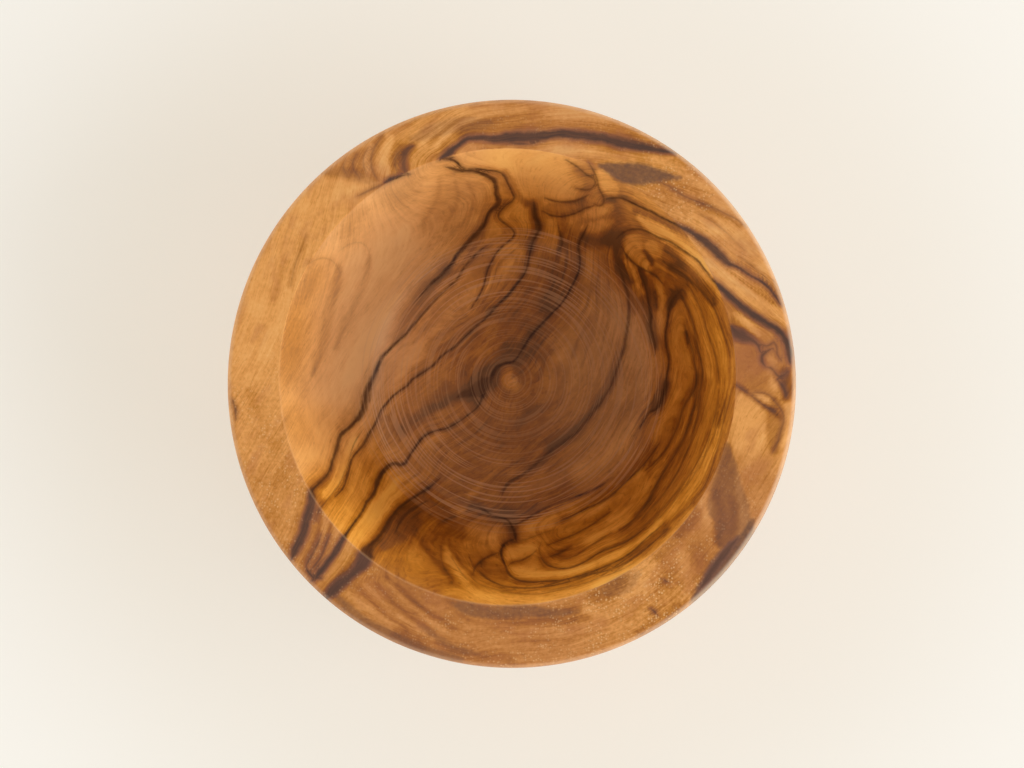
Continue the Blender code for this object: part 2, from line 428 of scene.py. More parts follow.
veins = {
    "beakTop": {"half": 8.5, "dark": 0.84, "rise": 1, "route": [
        (440, 159, 0.5), (446, 155, 0.8), (453, 149, 0.6), (460, 144, 0.5), (467, 139, 0.5),
        (475, 138, 0.5), (483, 138, 0.6), (490, 139, 0.7), (498, 139, 0.9), (506, 138, 1.1),
        (514, 137, 1.2), (523, 137, 1.2), (532, 136.5, 1.2), (542, 135.5, 1.1), (552, 134.5),
        (562, 133.5), (572, 134.5), (582, 135.5), (592, 137), (602, 138), (613, 141), (624, 144),
        (634, 146, 0.8), (644, 147.5, 0.7), (654, 149, 0.6), (664, 151, 0.5), (674, 153, 0.4)]},
    "beakTopUpper": {"half": 1.8, "dark": 0.6, "rise": 0, "route": [
        (618, 136), (628, 139.5), (638, 142), (648, 144.5), (656, 147)]},
    "beakTopLower": {"half": 1.8, "dark": 0.7, "rise": 0, "route": [
        (484, 140), (498, 141.5), (508, 142.5), (518, 144), (528, 144), (538, 141.5), (546, 138)]},
    "beakUnder": {"half": 1.9, "dark": 0.8, "rise": -1, "route": [
        (441, 159, 1.4), (451, 159.5, 1.7), (456, 161.5, 1.9), (459, 165, 1.7), (463, 168, 1.3),
        (471, 169), (480, 169), (488, 170.5), (495, 171), (501, 173), (505, 177), (507, 182),
        (510, 187.5), (512, 192), (514.5, 197.5), (512, 201), (507, 204.5), (502, 209), (498.5, 214),
        (498.5, 218), (502, 221.5), (507, 225), (512, 229), (514.5, 232.5), (514, 236), (509.5, 240.5),
        (503.5, 245), (498, 251), (494.5, 256), (491, 262.5), (488, 269), (486, 276), (484.5, 283),
        (481, 292), (476, 301), (470, 310, 0.6)]},
    "firstDrop": {"half": 4.0, "dark": 0.8, "rise": -1, "route": [
        (447, 167, 0.8), (457, 170, 1.0), (465, 170.5, 0.8), (474, 171, 0.8), (482, 173.5), (489, 177),
        (494, 181), (496, 187.5), (496, 194, 1.1), (498, 199, 1.3), (499, 202, 1.3), (496.5, 206, 1.1),
        (491.5, 210), (488, 215), (486, 220, 1.1), (483, 226, 1.1), (477, 233.5, 1.1), (471, 239, 1.2),
        (466, 245, 1.2), (460.5, 251, 1.1), (456, 256), (453, 262), (448, 268), (441, 275),
        (433, 282, 0.7), (425, 290, 0.5), (417, 301, 0.3)]},
    "secondDrop": {"half": 2.6, "dark": 0.8, "rise": -1, "route": [
        (485, 247, 0.6), (479, 251.5, 0.8), (473, 257.5), (467, 264), (462, 271), (457, 278.5),
        (451, 285), (444.5, 291), (437, 297.5), (428.5, 307), (420, 317), (412, 327, 1.1),
        (404, 336, 1.2), (397, 342, 1.2), (390, 349, 1.4), (383, 356, 1.7), (379, 364, 1.9),
        (376, 371, 2.0), (372.5, 379, 2.2), (369, 387, 2.7), (367, 393, 3.0), (365.5, 400, 2.9),
        (363, 409, 2.5), (360, 416, 2.1), (355.5, 421, 1.7), (350.5, 426.5, 1.5), (345.5, 430.5, 1.5),
        (341, 434.5, 1.6), (338.5, 440, 1.6), (337, 447, 1.6), (335, 454, 1.5), (332, 462.5, 1.4),
        (330, 470, 1.3), (326, 476.5, 1.2), (321, 481.5, 1.1), (316, 486, 1.2), (311.5, 491, 2.0),
        (312, 500, 3.0), (311, 507, 3.3), (308, 515, 3.2), (305.5, 523, 3.2), (304, 531, 3.2),
        (301, 538, 3.2), (298, 544, 3.1), (295, 550, 3.0), (292, 558, 2.6)]},
    "thirdDrop": {"half": 2.4, "dark": 0.8, "rise": -1, "route": [
        (534, 203, 1.6), (535, 210, 1.9), (536, 218, 1.6), (540, 226, 1.8), (537, 234, 1.3),
        (533, 241, 1.2), (531, 248, 1.2), (529.5, 255, 1.2), (528, 263, 1.2), (526.5, 270, 1.1),
        (523, 276.5), (518.5, 282), (514.5, 287), (509.5, 293.5), (503, 300), (498, 305), (493, 310),
        (488, 316), (482, 321.5), (475.5, 327), (469.5, 333), (463, 339), (457, 345), (451.5, 349),
        (445.5, 353), (439.5, 358), (434.5, 364), (428, 369), (420.5, 374), (412, 380), (407.5, 385.5),
        (400, 390.5), (392.5, 396.5), (386, 404), (381, 410.5), (377.5, 418), (375, 424.5),
        (370.5, 431, 1.1), (367.5, 437, 1.2), (363.5, 445, 1.2), (357, 452), (352, 458, 0.9),
        (349, 469, 0.9), (346, 479, 0.9), (343, 488, 0.8), (336, 496, 0.6)]},
    "fourthDrop": {"half": 2.3, "dark": 0.85, "rise": -1, "route": [
        (587, 226), (584, 233), (580, 240), (578.5, 247), (579.5, 254), (580, 260), (580, 266.5),
        (578, 273), (575.5, 279), (572, 286), (568, 293.5), (564, 300), (559.5, 306), (553.5, 311.5),
        (548, 317.5), (543, 322.5), (538, 328), (532.5, 334), (528, 340), (524.5, 346), (521, 351.5),
        (517.5, 357), (512.5, 362, 1.1), (505, 363.5, 1.2), (498.5, 366, 1.4), (494, 371, 1.6),
        (491, 378, 1.8), (487, 386, 2.4), (483, 393, 2.2), (481, 401, 1.0), (477, 408, 0.6),
        (470, 413.5, 0.5), (463, 419, 0.5), (455, 424, 0.5), (446, 428.5, 0.6), (437, 430.5, 0.8),
        (430, 433), (424, 436.5, 1.1), (419.5, 441.5, 1.2), (414, 449, 1.2), (409, 456.5, 1.2),
        (405.5, 463, 1.4), (400.5, 465, 1.5), (394.5, 463.5, 1.6), (388.5, 466, 2.0), (383.5, 471, 2.3),
        (379, 478.5, 2.4), (376.5, 485, 2.2), (375, 491, 1.8), (370.5, 497.5, 1.7), (366.5, 502.5, 1.3),
        (364, 508, 1.3), (360, 515, 1.3), (355, 521.5, 1.3), (350.5, 528, 1.3), (345.5, 535, 1.7),
        (341, 542, 2.3), (337, 549, 2.4), (332.5, 555.5, 2.4), (328.5, 561, 2.4), (324.5, 566.5, 2.5),
        (319.5, 572.5, 2.6), (313, 580, 2.5)]},
    "blobLeft": {"half": 15.0, "dark": 0.6, "rise": 0, "route": [
        (492, 377, 0.7), (484, 384), (477, 390), (471, 392, 0.7), (464, 394, 0.6), (458, 397, 0.5)]},
    "sixthDrop": {"half": 3.2, "dark": 0.55, "rise": -1, "route": [
        (618, 264, 0.7), (623, 278, 0.8), (627, 291), (629, 303), (629, 314), (628, 325), (626.5, 335),
        (624.5, 346), (621.5, 356), (618.5, 365), (615, 375), (611, 385.5), (607, 392.5), (603, 399),
        (599, 405), (593.5, 411.5), (589, 418), (584, 424), (578, 430.5), (571.5, 436.5),
        (565.5, 440.5), (559, 445), (552.5, 449), (547, 454), (540.5, 460), (534, 465.5), (528, 471),
        (520.5, 476), (512, 480.5), (506, 486), (502, 494, 0.6)]},
    "seventhDrop": {"half": 3.0, "dark": 0.70, "rise": -1, "route": [
        (638, 268, 0.5), (643, 280, 0.7), (647, 293, 0.8), (649, 305), (651, 315, 1.1),
        (650.5, 325, 1.1), (652.5, 334, 1.1), (655, 344), (655, 354, 0.6)]},
    "eighthDrop": {"half": 2.4, "dark": 0.85, "rise": -1, "route": [
        (681, 290, 0.8), (677, 295, 1.2), (673, 300, 1.5), (670, 307, 1.4), (668.5, 314), (667.5, 323),
        (666, 331), (665.5, 339), (666.5, 348), (668.5, 356), (669, 364), (667.5, 372.5),
        (666, 380, 1.3), (665, 388, 1.7), (662, 397, 1.8), (659, 405, 1.7), (655, 410, 1.3), (650, 412),
        (646, 417), (642, 424, 0.8), (634, 436, 0.6)]},
    "hookUpper": {"half": 2.0, "dark": 0.62, "rise": 0, "route": [
        (566, 160), (573, 164), (580, 169), (587, 175), (593, 178), (595.5, 181.5), (594.5, 185.5),
        (590.5, 189), (584.5, 190), (577, 188.5)]},
    "hookLower": {"half": 2.0, "dark": 0.60, "rise": 0, "route": [
        (589, 163), (594, 172), (597.5, 181), (598.5, 188), (602, 194), (604, 199), (603, 204),
        (599, 206), (594, 204)]},
    "coneFoot": {"half": 2.4, "dark": 0.65, "rise": 0, "route": [
        (545, 198, 0.7), (552, 200.5), (560, 202), (568, 202), (576, 200.5), (583, 198),
        (588, 195, 0.7)]},
    "coneFootLower": {"half": 1.9, "dark": 0.75, "rise": 0, "route": [
        (543, 211), (550, 215), (559, 216.5), (568, 215.5), (577, 212.5), (584.5, 208.5), (593, 206)]},
    "shortDrop": {"half": 2.4, "dark": 0.65, "rise": 0, "route": [
        (558, 225, 0.7), (559.5, 231), (561, 237), (562.5, 244), (559, 250, 0.7)]},
    "loopTop": {"half": 2.2, "dark": 0.75, "rise": 0, "route": [
        (617, 238), (624, 232), (632, 229.5), (641, 229.5), (651, 233.5), (660, 238), (669, 241),
        (677, 246), (685.5, 252), (694, 257.5), (699, 262), (704, 268.5), (709, 275), (714, 282),
        (718, 288, 0.6)]},
    "loopUnder": {"half": 2.4, "dark": 0.75, "rise": 0, "route": [
        (622, 247), (627, 256), (634, 263), (641, 268.5), (648, 271.5), (656, 276), (662, 283)]},
    "wallArcA": {"half": 1.8, "dark": 0.52, "rise": 1, "route": [
        (664, 262), (674, 268.5), (682, 273), (689, 279), (696.5, 286), (703, 293), (708, 299),
        (713, 306), (716.5, 313), (719.5, 321), (722, 329), (725, 337), (728, 345), (730, 356)]},
    "wallArcB": {"half": 2.1, "dark": 0.56, "rise": 1, "route": [
        (676, 288), (682, 297), (686.5, 305), (690, 314), (693, 323), (695, 333), (697, 343),
        (699, 353), (701.5, 364), (702.5, 373), (701.5, 383), (699, 396), (697, 410)]},
    "wallArcC": {"half": 1.8, "dark": 0.42, "rise": 1, "route": [
        (688, 284), (694, 295), (700, 308), (704, 320), (707, 331), (710.5, 341), (714, 351),
        (716.5, 361), (718, 371), (719, 382)]},
    "wallArcD": {"half": 2.1, "dark": 0.62, "rise": 1, "route": [
        (685, 325), (687, 334), (690, 343), (693, 352), (694.5, 362), (696.5, 373), (696.5, 383, 1.3),
        (694, 390, 1.3), (690, 397), (685.5, 404), (682, 412.5), (680, 420), (677.5, 427), (674, 434),
        (669, 444), (663, 453), (655, 462), (646, 470, 0.7)]},
    "wallArcE": {"half": 2.2, "dark": 0.60, "rise": 1, "route": [
        (697, 392), (695.5, 401), (693, 411), (690, 420.5), (687, 429), (684, 437), (680, 445),
        (676, 452), (671.5, 459.5), (666.5, 467), (662, 475, 1.1), (657.5, 483, 1.3), (653.5, 491, 1.3),
        (649.5, 499, 1.3), (644.5, 506.5, 1.2), (639.5, 513), (634, 519), (628, 524.5), (620, 530)]},
    "wallArcF": {"half": 1.7, "dark": 0.50, "rise": 1, "route": [
        (701, 392), (699.5, 405), (697.5, 417), (695, 427), (692, 437.5), (689, 447), (685, 456.5),
        (681, 466), (676.5, 474.5), (671.5, 483), (666, 491), (659, 499.5), (651, 509), (642, 519)]},
    "wallArcG": {"half": 1.3, "dark": 0.5, "rise": 1, "route": [
        (719.5, 390), (718, 403), (715, 416), (711.5, 429), (706.5, 443.5), (700, 457.5), (692, 471),
        (684, 482.5), (676.5, 492.5), (668, 502.5), (659, 512.5), (650, 521), (640, 530)]},
    "wallArcH": {"half": 1.3, "dark": 0.45, "rise": 1, "route": [
        (725, 400), (721, 415), (717, 427), (713, 438), (708, 449), (703, 460), (697, 470.5),
        (690, 480.5), (682, 491), (674, 501), (666.5, 510), (659, 518), (649, 527)]},
    "wallArcI": {"half": 1.6, "dark": 0.4, "rise": 1, "route": [
        (731, 392), (728, 405), (724, 420), (721, 433), (717.5, 447), (714, 460), (710, 473),
        (704.5, 486), (698.5, 495), (691.5, 503.5), (684, 511), (674, 520)]},
    "innerArcA": {"half": 2.0, "dark": 0.75, "rise": -1, "route": [
        (659, 444), (655, 450), (650, 456.5), (645, 462.5), (639, 469), (633, 475), (626, 481.5),
        (619, 488.5), (611.5, 495), (604, 500), (595, 505), (587, 508), (580.5, 511.5), (574, 515),
        (565.5, 519), (556, 523)]},
    "innerArcB": {"half": 2.2, "dark": 0.75, "rise": -1, "route": [
        (612, 478, 0.6), (600, 486, 0.7), (588, 492), (575, 497), (562, 501.5), (552, 505.5),
        (544.5, 509), (537, 513), (530.5, 516.5), (524, 520.5, 1.2), (516, 524)]},
    "innerArcC": {"half": 2.5, "dark": 0.8, "rise": 0, "route": [
        (462, 503, 0.7), (470.5, 505), (478, 506.5), (485.5, 511), (492, 515), (500, 517.5), (508, 520),
        (512, 527), (515, 534, 1.6), (516, 540, 1.5)]},
    "knotStem": {"half": 3.4, "dark": 0.88, "rise": 0, "route": [
        (512, 540, 0.8), (505, 543.5, 0.9), (502, 548), (501, 553), (502.5, 559, 0.8),
        (505.5, 566, 0.6)]},
    "knotArmRight": {"half": 1.6, "dark": 0.35, "rise": 0, "route": [
        (503, 547.5), (509.5, 544), (516, 541.5), (524.5, 540), (533, 537), (543, 533), (553, 530)]},
    "knotArmLeft": {"half": 2.0, "dark": 0.7, "rise": 0, "route": [
        (500, 552), (492, 555), (485.5, 558), (479.5, 562.5), (475, 567.5), (473.5, 573)]},
    "nuggetEnd": {"half": 1.6, "dark": 0.4, "rise": 0, "route": [(541, 543), (539, 549), (541, 556)]},
    "knotSplit": {"half": 1.5, "dark": 0.6, "rise": 0, "route": [
        (508, 566), (513, 562), (522, 560), (530, 556), (536, 551)]},
    "lowerLoopA": {"half": 2.0, "dark": 0.8, "rise": -1, "route": [
        (505, 565), (508, 573), (514.5, 578.5), (522, 581), (532, 582), (542, 581.5), (552, 581),
        (562, 580), (572, 578), (582, 575), (592, 571.5), (602, 568), (613, 563), (624, 557.5),
        (634, 550), (641.5, 543), (649, 536, 0.8), (656.5, 530, 0.6), (664, 523, 0.4)]},
    "lowerLoopB": {"half": 1.6, "dark": 0.75, "rise": -1, "route": [
        (480, 572), (487, 578.5), (494.5, 582.5), (503, 586), (512, 587.5), (522, 588), (532, 588),
        (542, 587), (552, 585.5), (562, 583.5), (572, 580.5), (582, 577.5), (592, 574), (604, 571.5),
        (616.5, 567), (629, 560.5), (641, 552.5, 0.8), (650, 545, 0.6), (659, 537.5, 0.5),
        (668, 529, 0.4)]},
    "lowerLoopC": {"half": 1.2, "dark": 0.45, "rise": -1, "route": [
        (470.5, 576), (477, 582.5), (484.5, 586), (492, 588.5), (502, 591), (512, 593), (522, 594),
        (532, 594), (542, 593.5), (552, 591.5), (562, 589), (572, 586.5), (587, 582.5), (600, 577.5),
        (619, 571), (634, 563)]},
    "lensUnder": {"half": 2.0, "dark": 0.75, "rise": -1, "route": [
        (540.5, 556), (544.5, 562.5), (551, 566.5), (559.5, 568.5), (568, 568), (577, 565.5),
        (587, 560.5), (594.5, 555.5), (603, 551), (616, 546), (627, 541), (636, 535), (645, 528)]},
    "lensOver": {"half": 1.6, "dark": 0.65, "rise": 0, "route": [
        (548, 545), (557, 541.5), (565.5, 538), (574, 534.5), (582, 530.5), (590, 526), (600, 519),
        (610, 512)]},
    "lensHeart": {"half": 3.0, "dark": 0.7, "rise": 0, "route": [
        (551, 556, 0.6), (557, 554), (563, 551), (570, 547, 0.6)]},
    "lensMiddle": {"half": 1.3, "dark": 0.6, "rise": 0, "route": [
        (561, 559.5), (569, 558), (577, 555), (583, 550.5), (590, 546), (600, 540), (611, 533)]},
    "lowLeftShort": {"half": 1.4, "dark": 0.4, "rise": 0, "route": [
        (441, 546), (441, 554), (442, 562), (444.5, 568), (448, 573.5), (453, 579.5)]},
    "lowLeftFine": {"half": 1.2, "dark": 0.4, "rise": 0, "route": [
        (452, 558), (457, 566), (462, 573.5), (467, 580)]},
    "gashes": {"half": 4.0, "dark": 0.25, "rise": 0, "route": [
        (423, 497), (430, 500.5), (436, 504.5, 0.7), (443, 508), (449, 511.5), (455, 516)]},
    "fifthDrop": {"half": 2.9, "dark": 0.75, "rise": -1, "route": [
        (440, 478, 0.5), (430, 487, 0.8), (420, 493.5), (411, 499), (403, 505), (396.5, 511),
        (391, 518), (386, 526), (381, 534), (375, 541, 1.3), (369, 547, 2.6), (366, 554, 4.8),
        (364, 561, 4.6), (359, 567, 3.2), (354, 572, 2.3), (349, 577, 2.3), (343, 581.5, 3.0),
        (337.5, 585.5, 3.4), (332, 591, 3.2), (326, 598, 2.6)]},
    "fifthTwin": {"half": 2.6, "dark": 0.65, "rise": 0, "route": [
        (427, 501, 0.6), (419, 505), (411, 510), (404, 516), (399, 523), (396, 531, 0.7)]},
    "leftWallFine": {"half": 1.5, "dark": 0.5, "rise": -1, "route": [
        (361.5, 432), (356, 440), (352.5, 448), (350, 456.5), (347, 466), (343.5, 475), (340, 483),
        (335, 490), (330, 496.5), (325, 502.5), (319, 510), (316, 520)]},
    "rimLowLeftA": {"half": 2.4, "dark": 0.55, "rise": -1, "route": [
        (321, 535), (318, 543), (313.5, 552), (309, 560), (305.5, 568)]},
    "rimLowLeftB": {"half": 2.0, "dark": 0.55, "rise": -1, "route": [
        (329, 536), (326, 544), (323.5, 551), (320, 558.5), (316, 564), (311, 570)]},
    "rimLowLeftEdge": {"half": 3.6, "dark": 0.75, "rise": 0, "route": [
        (306, 568), (310, 574), (315, 578), (321, 578)]},
    "rimVeinA": {"half": 2.4, "dark": 0.85, "rise": 1, "route": [
        (606, 199, 0.7), (613, 198), (621, 198, 0.9), (629, 201), (636.5, 205), (644, 208.5),
        (651, 211.5), (658, 215.5), (665, 219), (673, 223, 1.2), (681, 227, 1.5), (689, 231, 2.0),
        (697, 236, 2.6), (704, 241, 3.1), (710, 246, 3.5), (716.5, 252, 3.4), (723, 258, 2.9),
        (729, 263.5, 2.3), (736.5, 266.5, 1.2), (743, 270.5, 1.2), (748, 274, 1.1), (755, 278),
        (761.5, 281.5), (767.5, 286.5), (772, 291.5), (776, 297), (780, 304)]},
    "poreLine": {"half": 1.4, "dark": 0.44, "rise": 0, "route": [
        (660, 182, 0.6), (672, 188), (684, 196, 1.2), (696, 201), (710, 206), (722, 212), (736, 219),
        (745, 226, 0.6)]},
    "rimFineA": {"half": 1.2, "dark": 0.30, "rise": 0, "route": [
        (742, 258, 0.6), (752, 266), (763, 275), (772, 285), (778, 294, 0.6)]},
    "rimFineB": {"half": 1.2, "dark": 0.24, "rise": 0, "route": [
        (700, 214, 0.6), (716, 224), (730, 236), (744, 250, 0.6)]},
    "rimVeinB": {"half": 6.5, "dark": 0.90, "rise": 1, "route": [
        (708, 275, 0.3), (714, 281, 0.5), (719, 286, 0.8), (724, 290.5), (729.5, 295.5), (735, 300.5),
        (741.5, 306), (748, 311), (754, 315), (760.5, 319), (768, 324), (775, 328), (781, 333),
        (785, 339), (788, 346), (789.5, 354), (790, 362, 0.7)]},
    "rimVeinC": {"half": 2.8, "dark": 0.68, "rise": 1, "route": [
        (732, 328, 2.2), (736.5, 333, 3.2), (742, 336, 3.2), (748, 338.5, 2.2), (754, 341),
        (758, 345, 0.8), (760, 351, 0.7)]},
    "rimZigA": {"half": 3.2, "dark": 0.62, "rise": 0, "route": [
        (771, 349, 0.7), (766, 352), (762, 356), (762, 361), (765, 366, 0.7)]},
    "rimZigB": {"half": 1.8, "dark": 0.5, "rise": 0, "route": [
        (759, 343), (765, 346), (770, 345), (774, 342), (777, 348), (777, 354), (781, 360)]},
    "rimZigC": {"half": 2.0, "dark": 0.55, "rise": 0, "route": [
        (765, 367), (771, 368), (775, 372), (779, 377), (784, 375), (788, 371)]},
    "rimZigD": {"half": 2.8, "dark": 0.6, "rise": 0, "route": [
        (777, 379), (781, 384), (784, 389), (786, 395)]},
    "rimFork": {"half": 1.5, "dark": 0.5, "rise": 0, "route": [
        (736, 385), (743, 390), (749.5, 394.5), (755.5, 399), (762, 404), (768, 408), (775, 411)]},
    "rimForkOuter": {"half": 1.6, "dark": 0.36, "rise": 0, "route": [
        (750, 393.5), (759, 392.5), (768, 394.5), (773, 399), (777, 404), (781.5, 410), (784, 417.5),
        (783, 424), (780, 434), (777, 444), (773, 452)]},
    "upperLeftA": {"half": 4.6, "dark": 0.5, "rise": 0, "route": [
        (413, 146, 0.5), (408, 149, 0.9), (404.5, 156), (403.5, 164), (405, 171, 0.8),
        (408, 176, 0.4)]},
    "upperLeftB": {"half": 2.3, "dark": 0.3, "rise": 0, "route": [
        (402, 149), (396.5, 155), (395, 163), (397, 172)]},
    "upperLeftC": {"half": 2.4, "dark": 0.32, "rise": 0, "route": [
        (382, 136, 0.6), (376, 145), (372, 154), (371, 163), (373, 172), (378, 180, 0.6)]},
    "upperLeftD": {"half": 1.6, "dark": 0.3, "rise": 0, "route": [
        (368, 148), (364, 156), (363.5, 164), (366, 173)]},
    "upperLeftE": {"half": 1.5, "dark": 0.36, "rise": 0, "route": [
        (357, 153, 0.6), (353, 161), (354, 170), (359, 177, 0.6)]},
    "upperLeftF": {"half": 1.4, "dark": 0.34, "rise": 0, "route": [
        (346, 160, 0.6), (343, 167), (347, 175, 0.6)]},
    "notch": {"half": 4.0, "dark": 0.85, "rise": 0, "route": [
        (383, 184, 0.5), (389, 180), (395, 178, 1.0), (402, 175.5, 0.6), (410, 174, 0.3)]},
    "arrisStrip": {"half": 2.4, "dark": 0.4, "rise": 0, "route": [
        (358, 196, 0.6), (364, 193), (371, 189.5), (379, 186), (386, 182.5)]},
    "leftRimLine": {"half": 1.7, "dark": 0.16, "rise": -1, "route": [
        (306, 236), (302.5, 246), (298.5, 256), (295, 265.5), (292.5, 275), (290.5, 285)]},
    "leftRimSpot": {"half": 2.6, "dark": 0.55, "rise": 0, "route": [
        (233, 401), (235.5, 410), (235.5, 419)]},
    "archSmall": {"half": 1.4, "dark": 0.19, "rise": 0, "route": [
        (308, 264), (315, 260), (323, 258), (331, 260), (337, 266), (340, 273)]},
    "archLarge": {"half": 1.4, "dark": 0.14, "rise": 0, "route": [
        (338, 252), (346, 246), (355, 242.5), (363, 243.5), (368, 249), (370, 258), (369, 268)]},
    "bottomLeftGuide": {"half": 0.1, "dark": 0.0, "rise": -1, "route": [
        (352, 588), (376, 606), (402, 622), (430, 636), (462, 646)]},
    "bottomGuide": {"half": 0.1, "dark": 0.0, "rise": -1, "route": [
        (490, 640), (530, 640), (570, 634), (610, 622)]},
    "rimEdgeSpot": {"half": 2.2, "dark": 0.65, "rise": 0, "route": [(651, 609), (654, 611), (656, 613)]},
    "lowRightCore": {"half": 5.0, "dark": 0.6, "rise": 0, "route": [
        (737, 539, 0.5), (729, 548), (722, 557, 1.2), (714, 568, 1.2), (707, 579), (700, 589, 0.5)]},
    "rimMauveSpot": {"half": 2.4, "dark": 0.5, "rise": 0, "route": [(664, 580), (667, 582)]},
}

# Mauve brown stains with a clear edge, strength from 0 to 1

stains = {
    "upperRightStain": {"half": 9, "strength": 0.80, "route": [
        (600, 166, 0.4), (612, 169, 0.7), (625, 173, 1.1), (640, 174, 1.2), (652, 175, 0.9),
        (665, 176, 0.5), (680, 178, 0.3)]},
    "upperLeftBrown": {"half": 5.0, "strength": 0.18, "route": [
        (324, 172), (338, 172.5), (352, 175), (364, 178.5), (374, 183)]},
    "topRimBrown": {"half": 7.0, "strength": 0.25, "route": [
        (412, 140), (430, 132), (450, 126), (470, 124), (490, 124)]},
    "lowLeftShade": {"half": 12, "strength": 0.35, "route": [
        (385, 545), (398, 532), (412, 520), (424, 512)]},
    "rightLowStain": {"half": 8.0, "strength": 0.10, "route": [
        (772, 412, 0.6), (776, 422), (776, 434), (772, 446, 0.6)]},
    "lowRightMauve": {"half": 10, "strength": 0.40, "route": [
        (727, 443, 0.2), (727, 452, 0.5), (728, 470, 1.0), (727, 488, 1.6), (728, 504, 2.0),
        (731, 519, 1.9), (727, 534, 1.3), (722, 545, 0.9)]},
    "lowRightEdge": {"half": 8.5, "strength": 0.85, "route": [
        (753, 520, 0.4), (749, 528, 0.7), (744, 536, 0.9), (736, 544), (729, 553), (723, 561),
        (718, 568), (713, 575), (707, 584, 0.8), (700, 593, 0.7), (692, 602, 0.5)]},
    "bottomMauve": {"half": 6.0, "strength": 0.48, "route": [
        (452, 603, 0.6), (466, 608), (483, 612), (502, 612), (522, 611), (542, 612, 0.8),
        (562, 613, 0.5), (580, 611, 0.2)]},
    "bottomEdge": {"half": 4.0, "strength": 0.45, "route": [
        (332, 592), (347, 607), (362, 619), (382, 630), (402, 640), (422, 649), (442, 655),
        (462, 659)]},
    "bottomRed": {"half": 3.0, "strength": 0.3, "route": [
        (419, 625), (428, 631), (437, 637.5), (446, 643.5), (455, 648), (465, 651), (478, 654)]},
    "bottomRightRed": {"half": 9, "strength": 0.25, "route": [
        (604, 592), (614, 588), (626, 582), (638, 574)]},
    "floorBandA": {"half": 9, "strength": 0.25, "route": [
        (552, 280), (541, 299), (526, 317), (512, 334), (496, 349), (480, 362), (462, 374)]},
    "floorBandB": {"half": 5, "strength": 0.4, "route": [
        (447, 386), (440, 393), (433, 401), (426, 408), (418, 416), (411, 424)]},
    "floorSmear": {"half": 5, "strength": 0.35, "route": [
        (462, 394), (453, 403), (445, 410), (434, 416), (424, 424)]},
    "bandBetween": {"half": 7, "strength": 0.25, "route": [
        (472, 296), (460, 312), (446, 328), (430, 343), (415, 358), (400, 372), (390, 384)]},
}

# Soft washes of tone along the figure on the rim, above 0 browner, below 0 paler
# edge: the pixels over which a wash with a clear border fades, where it has one

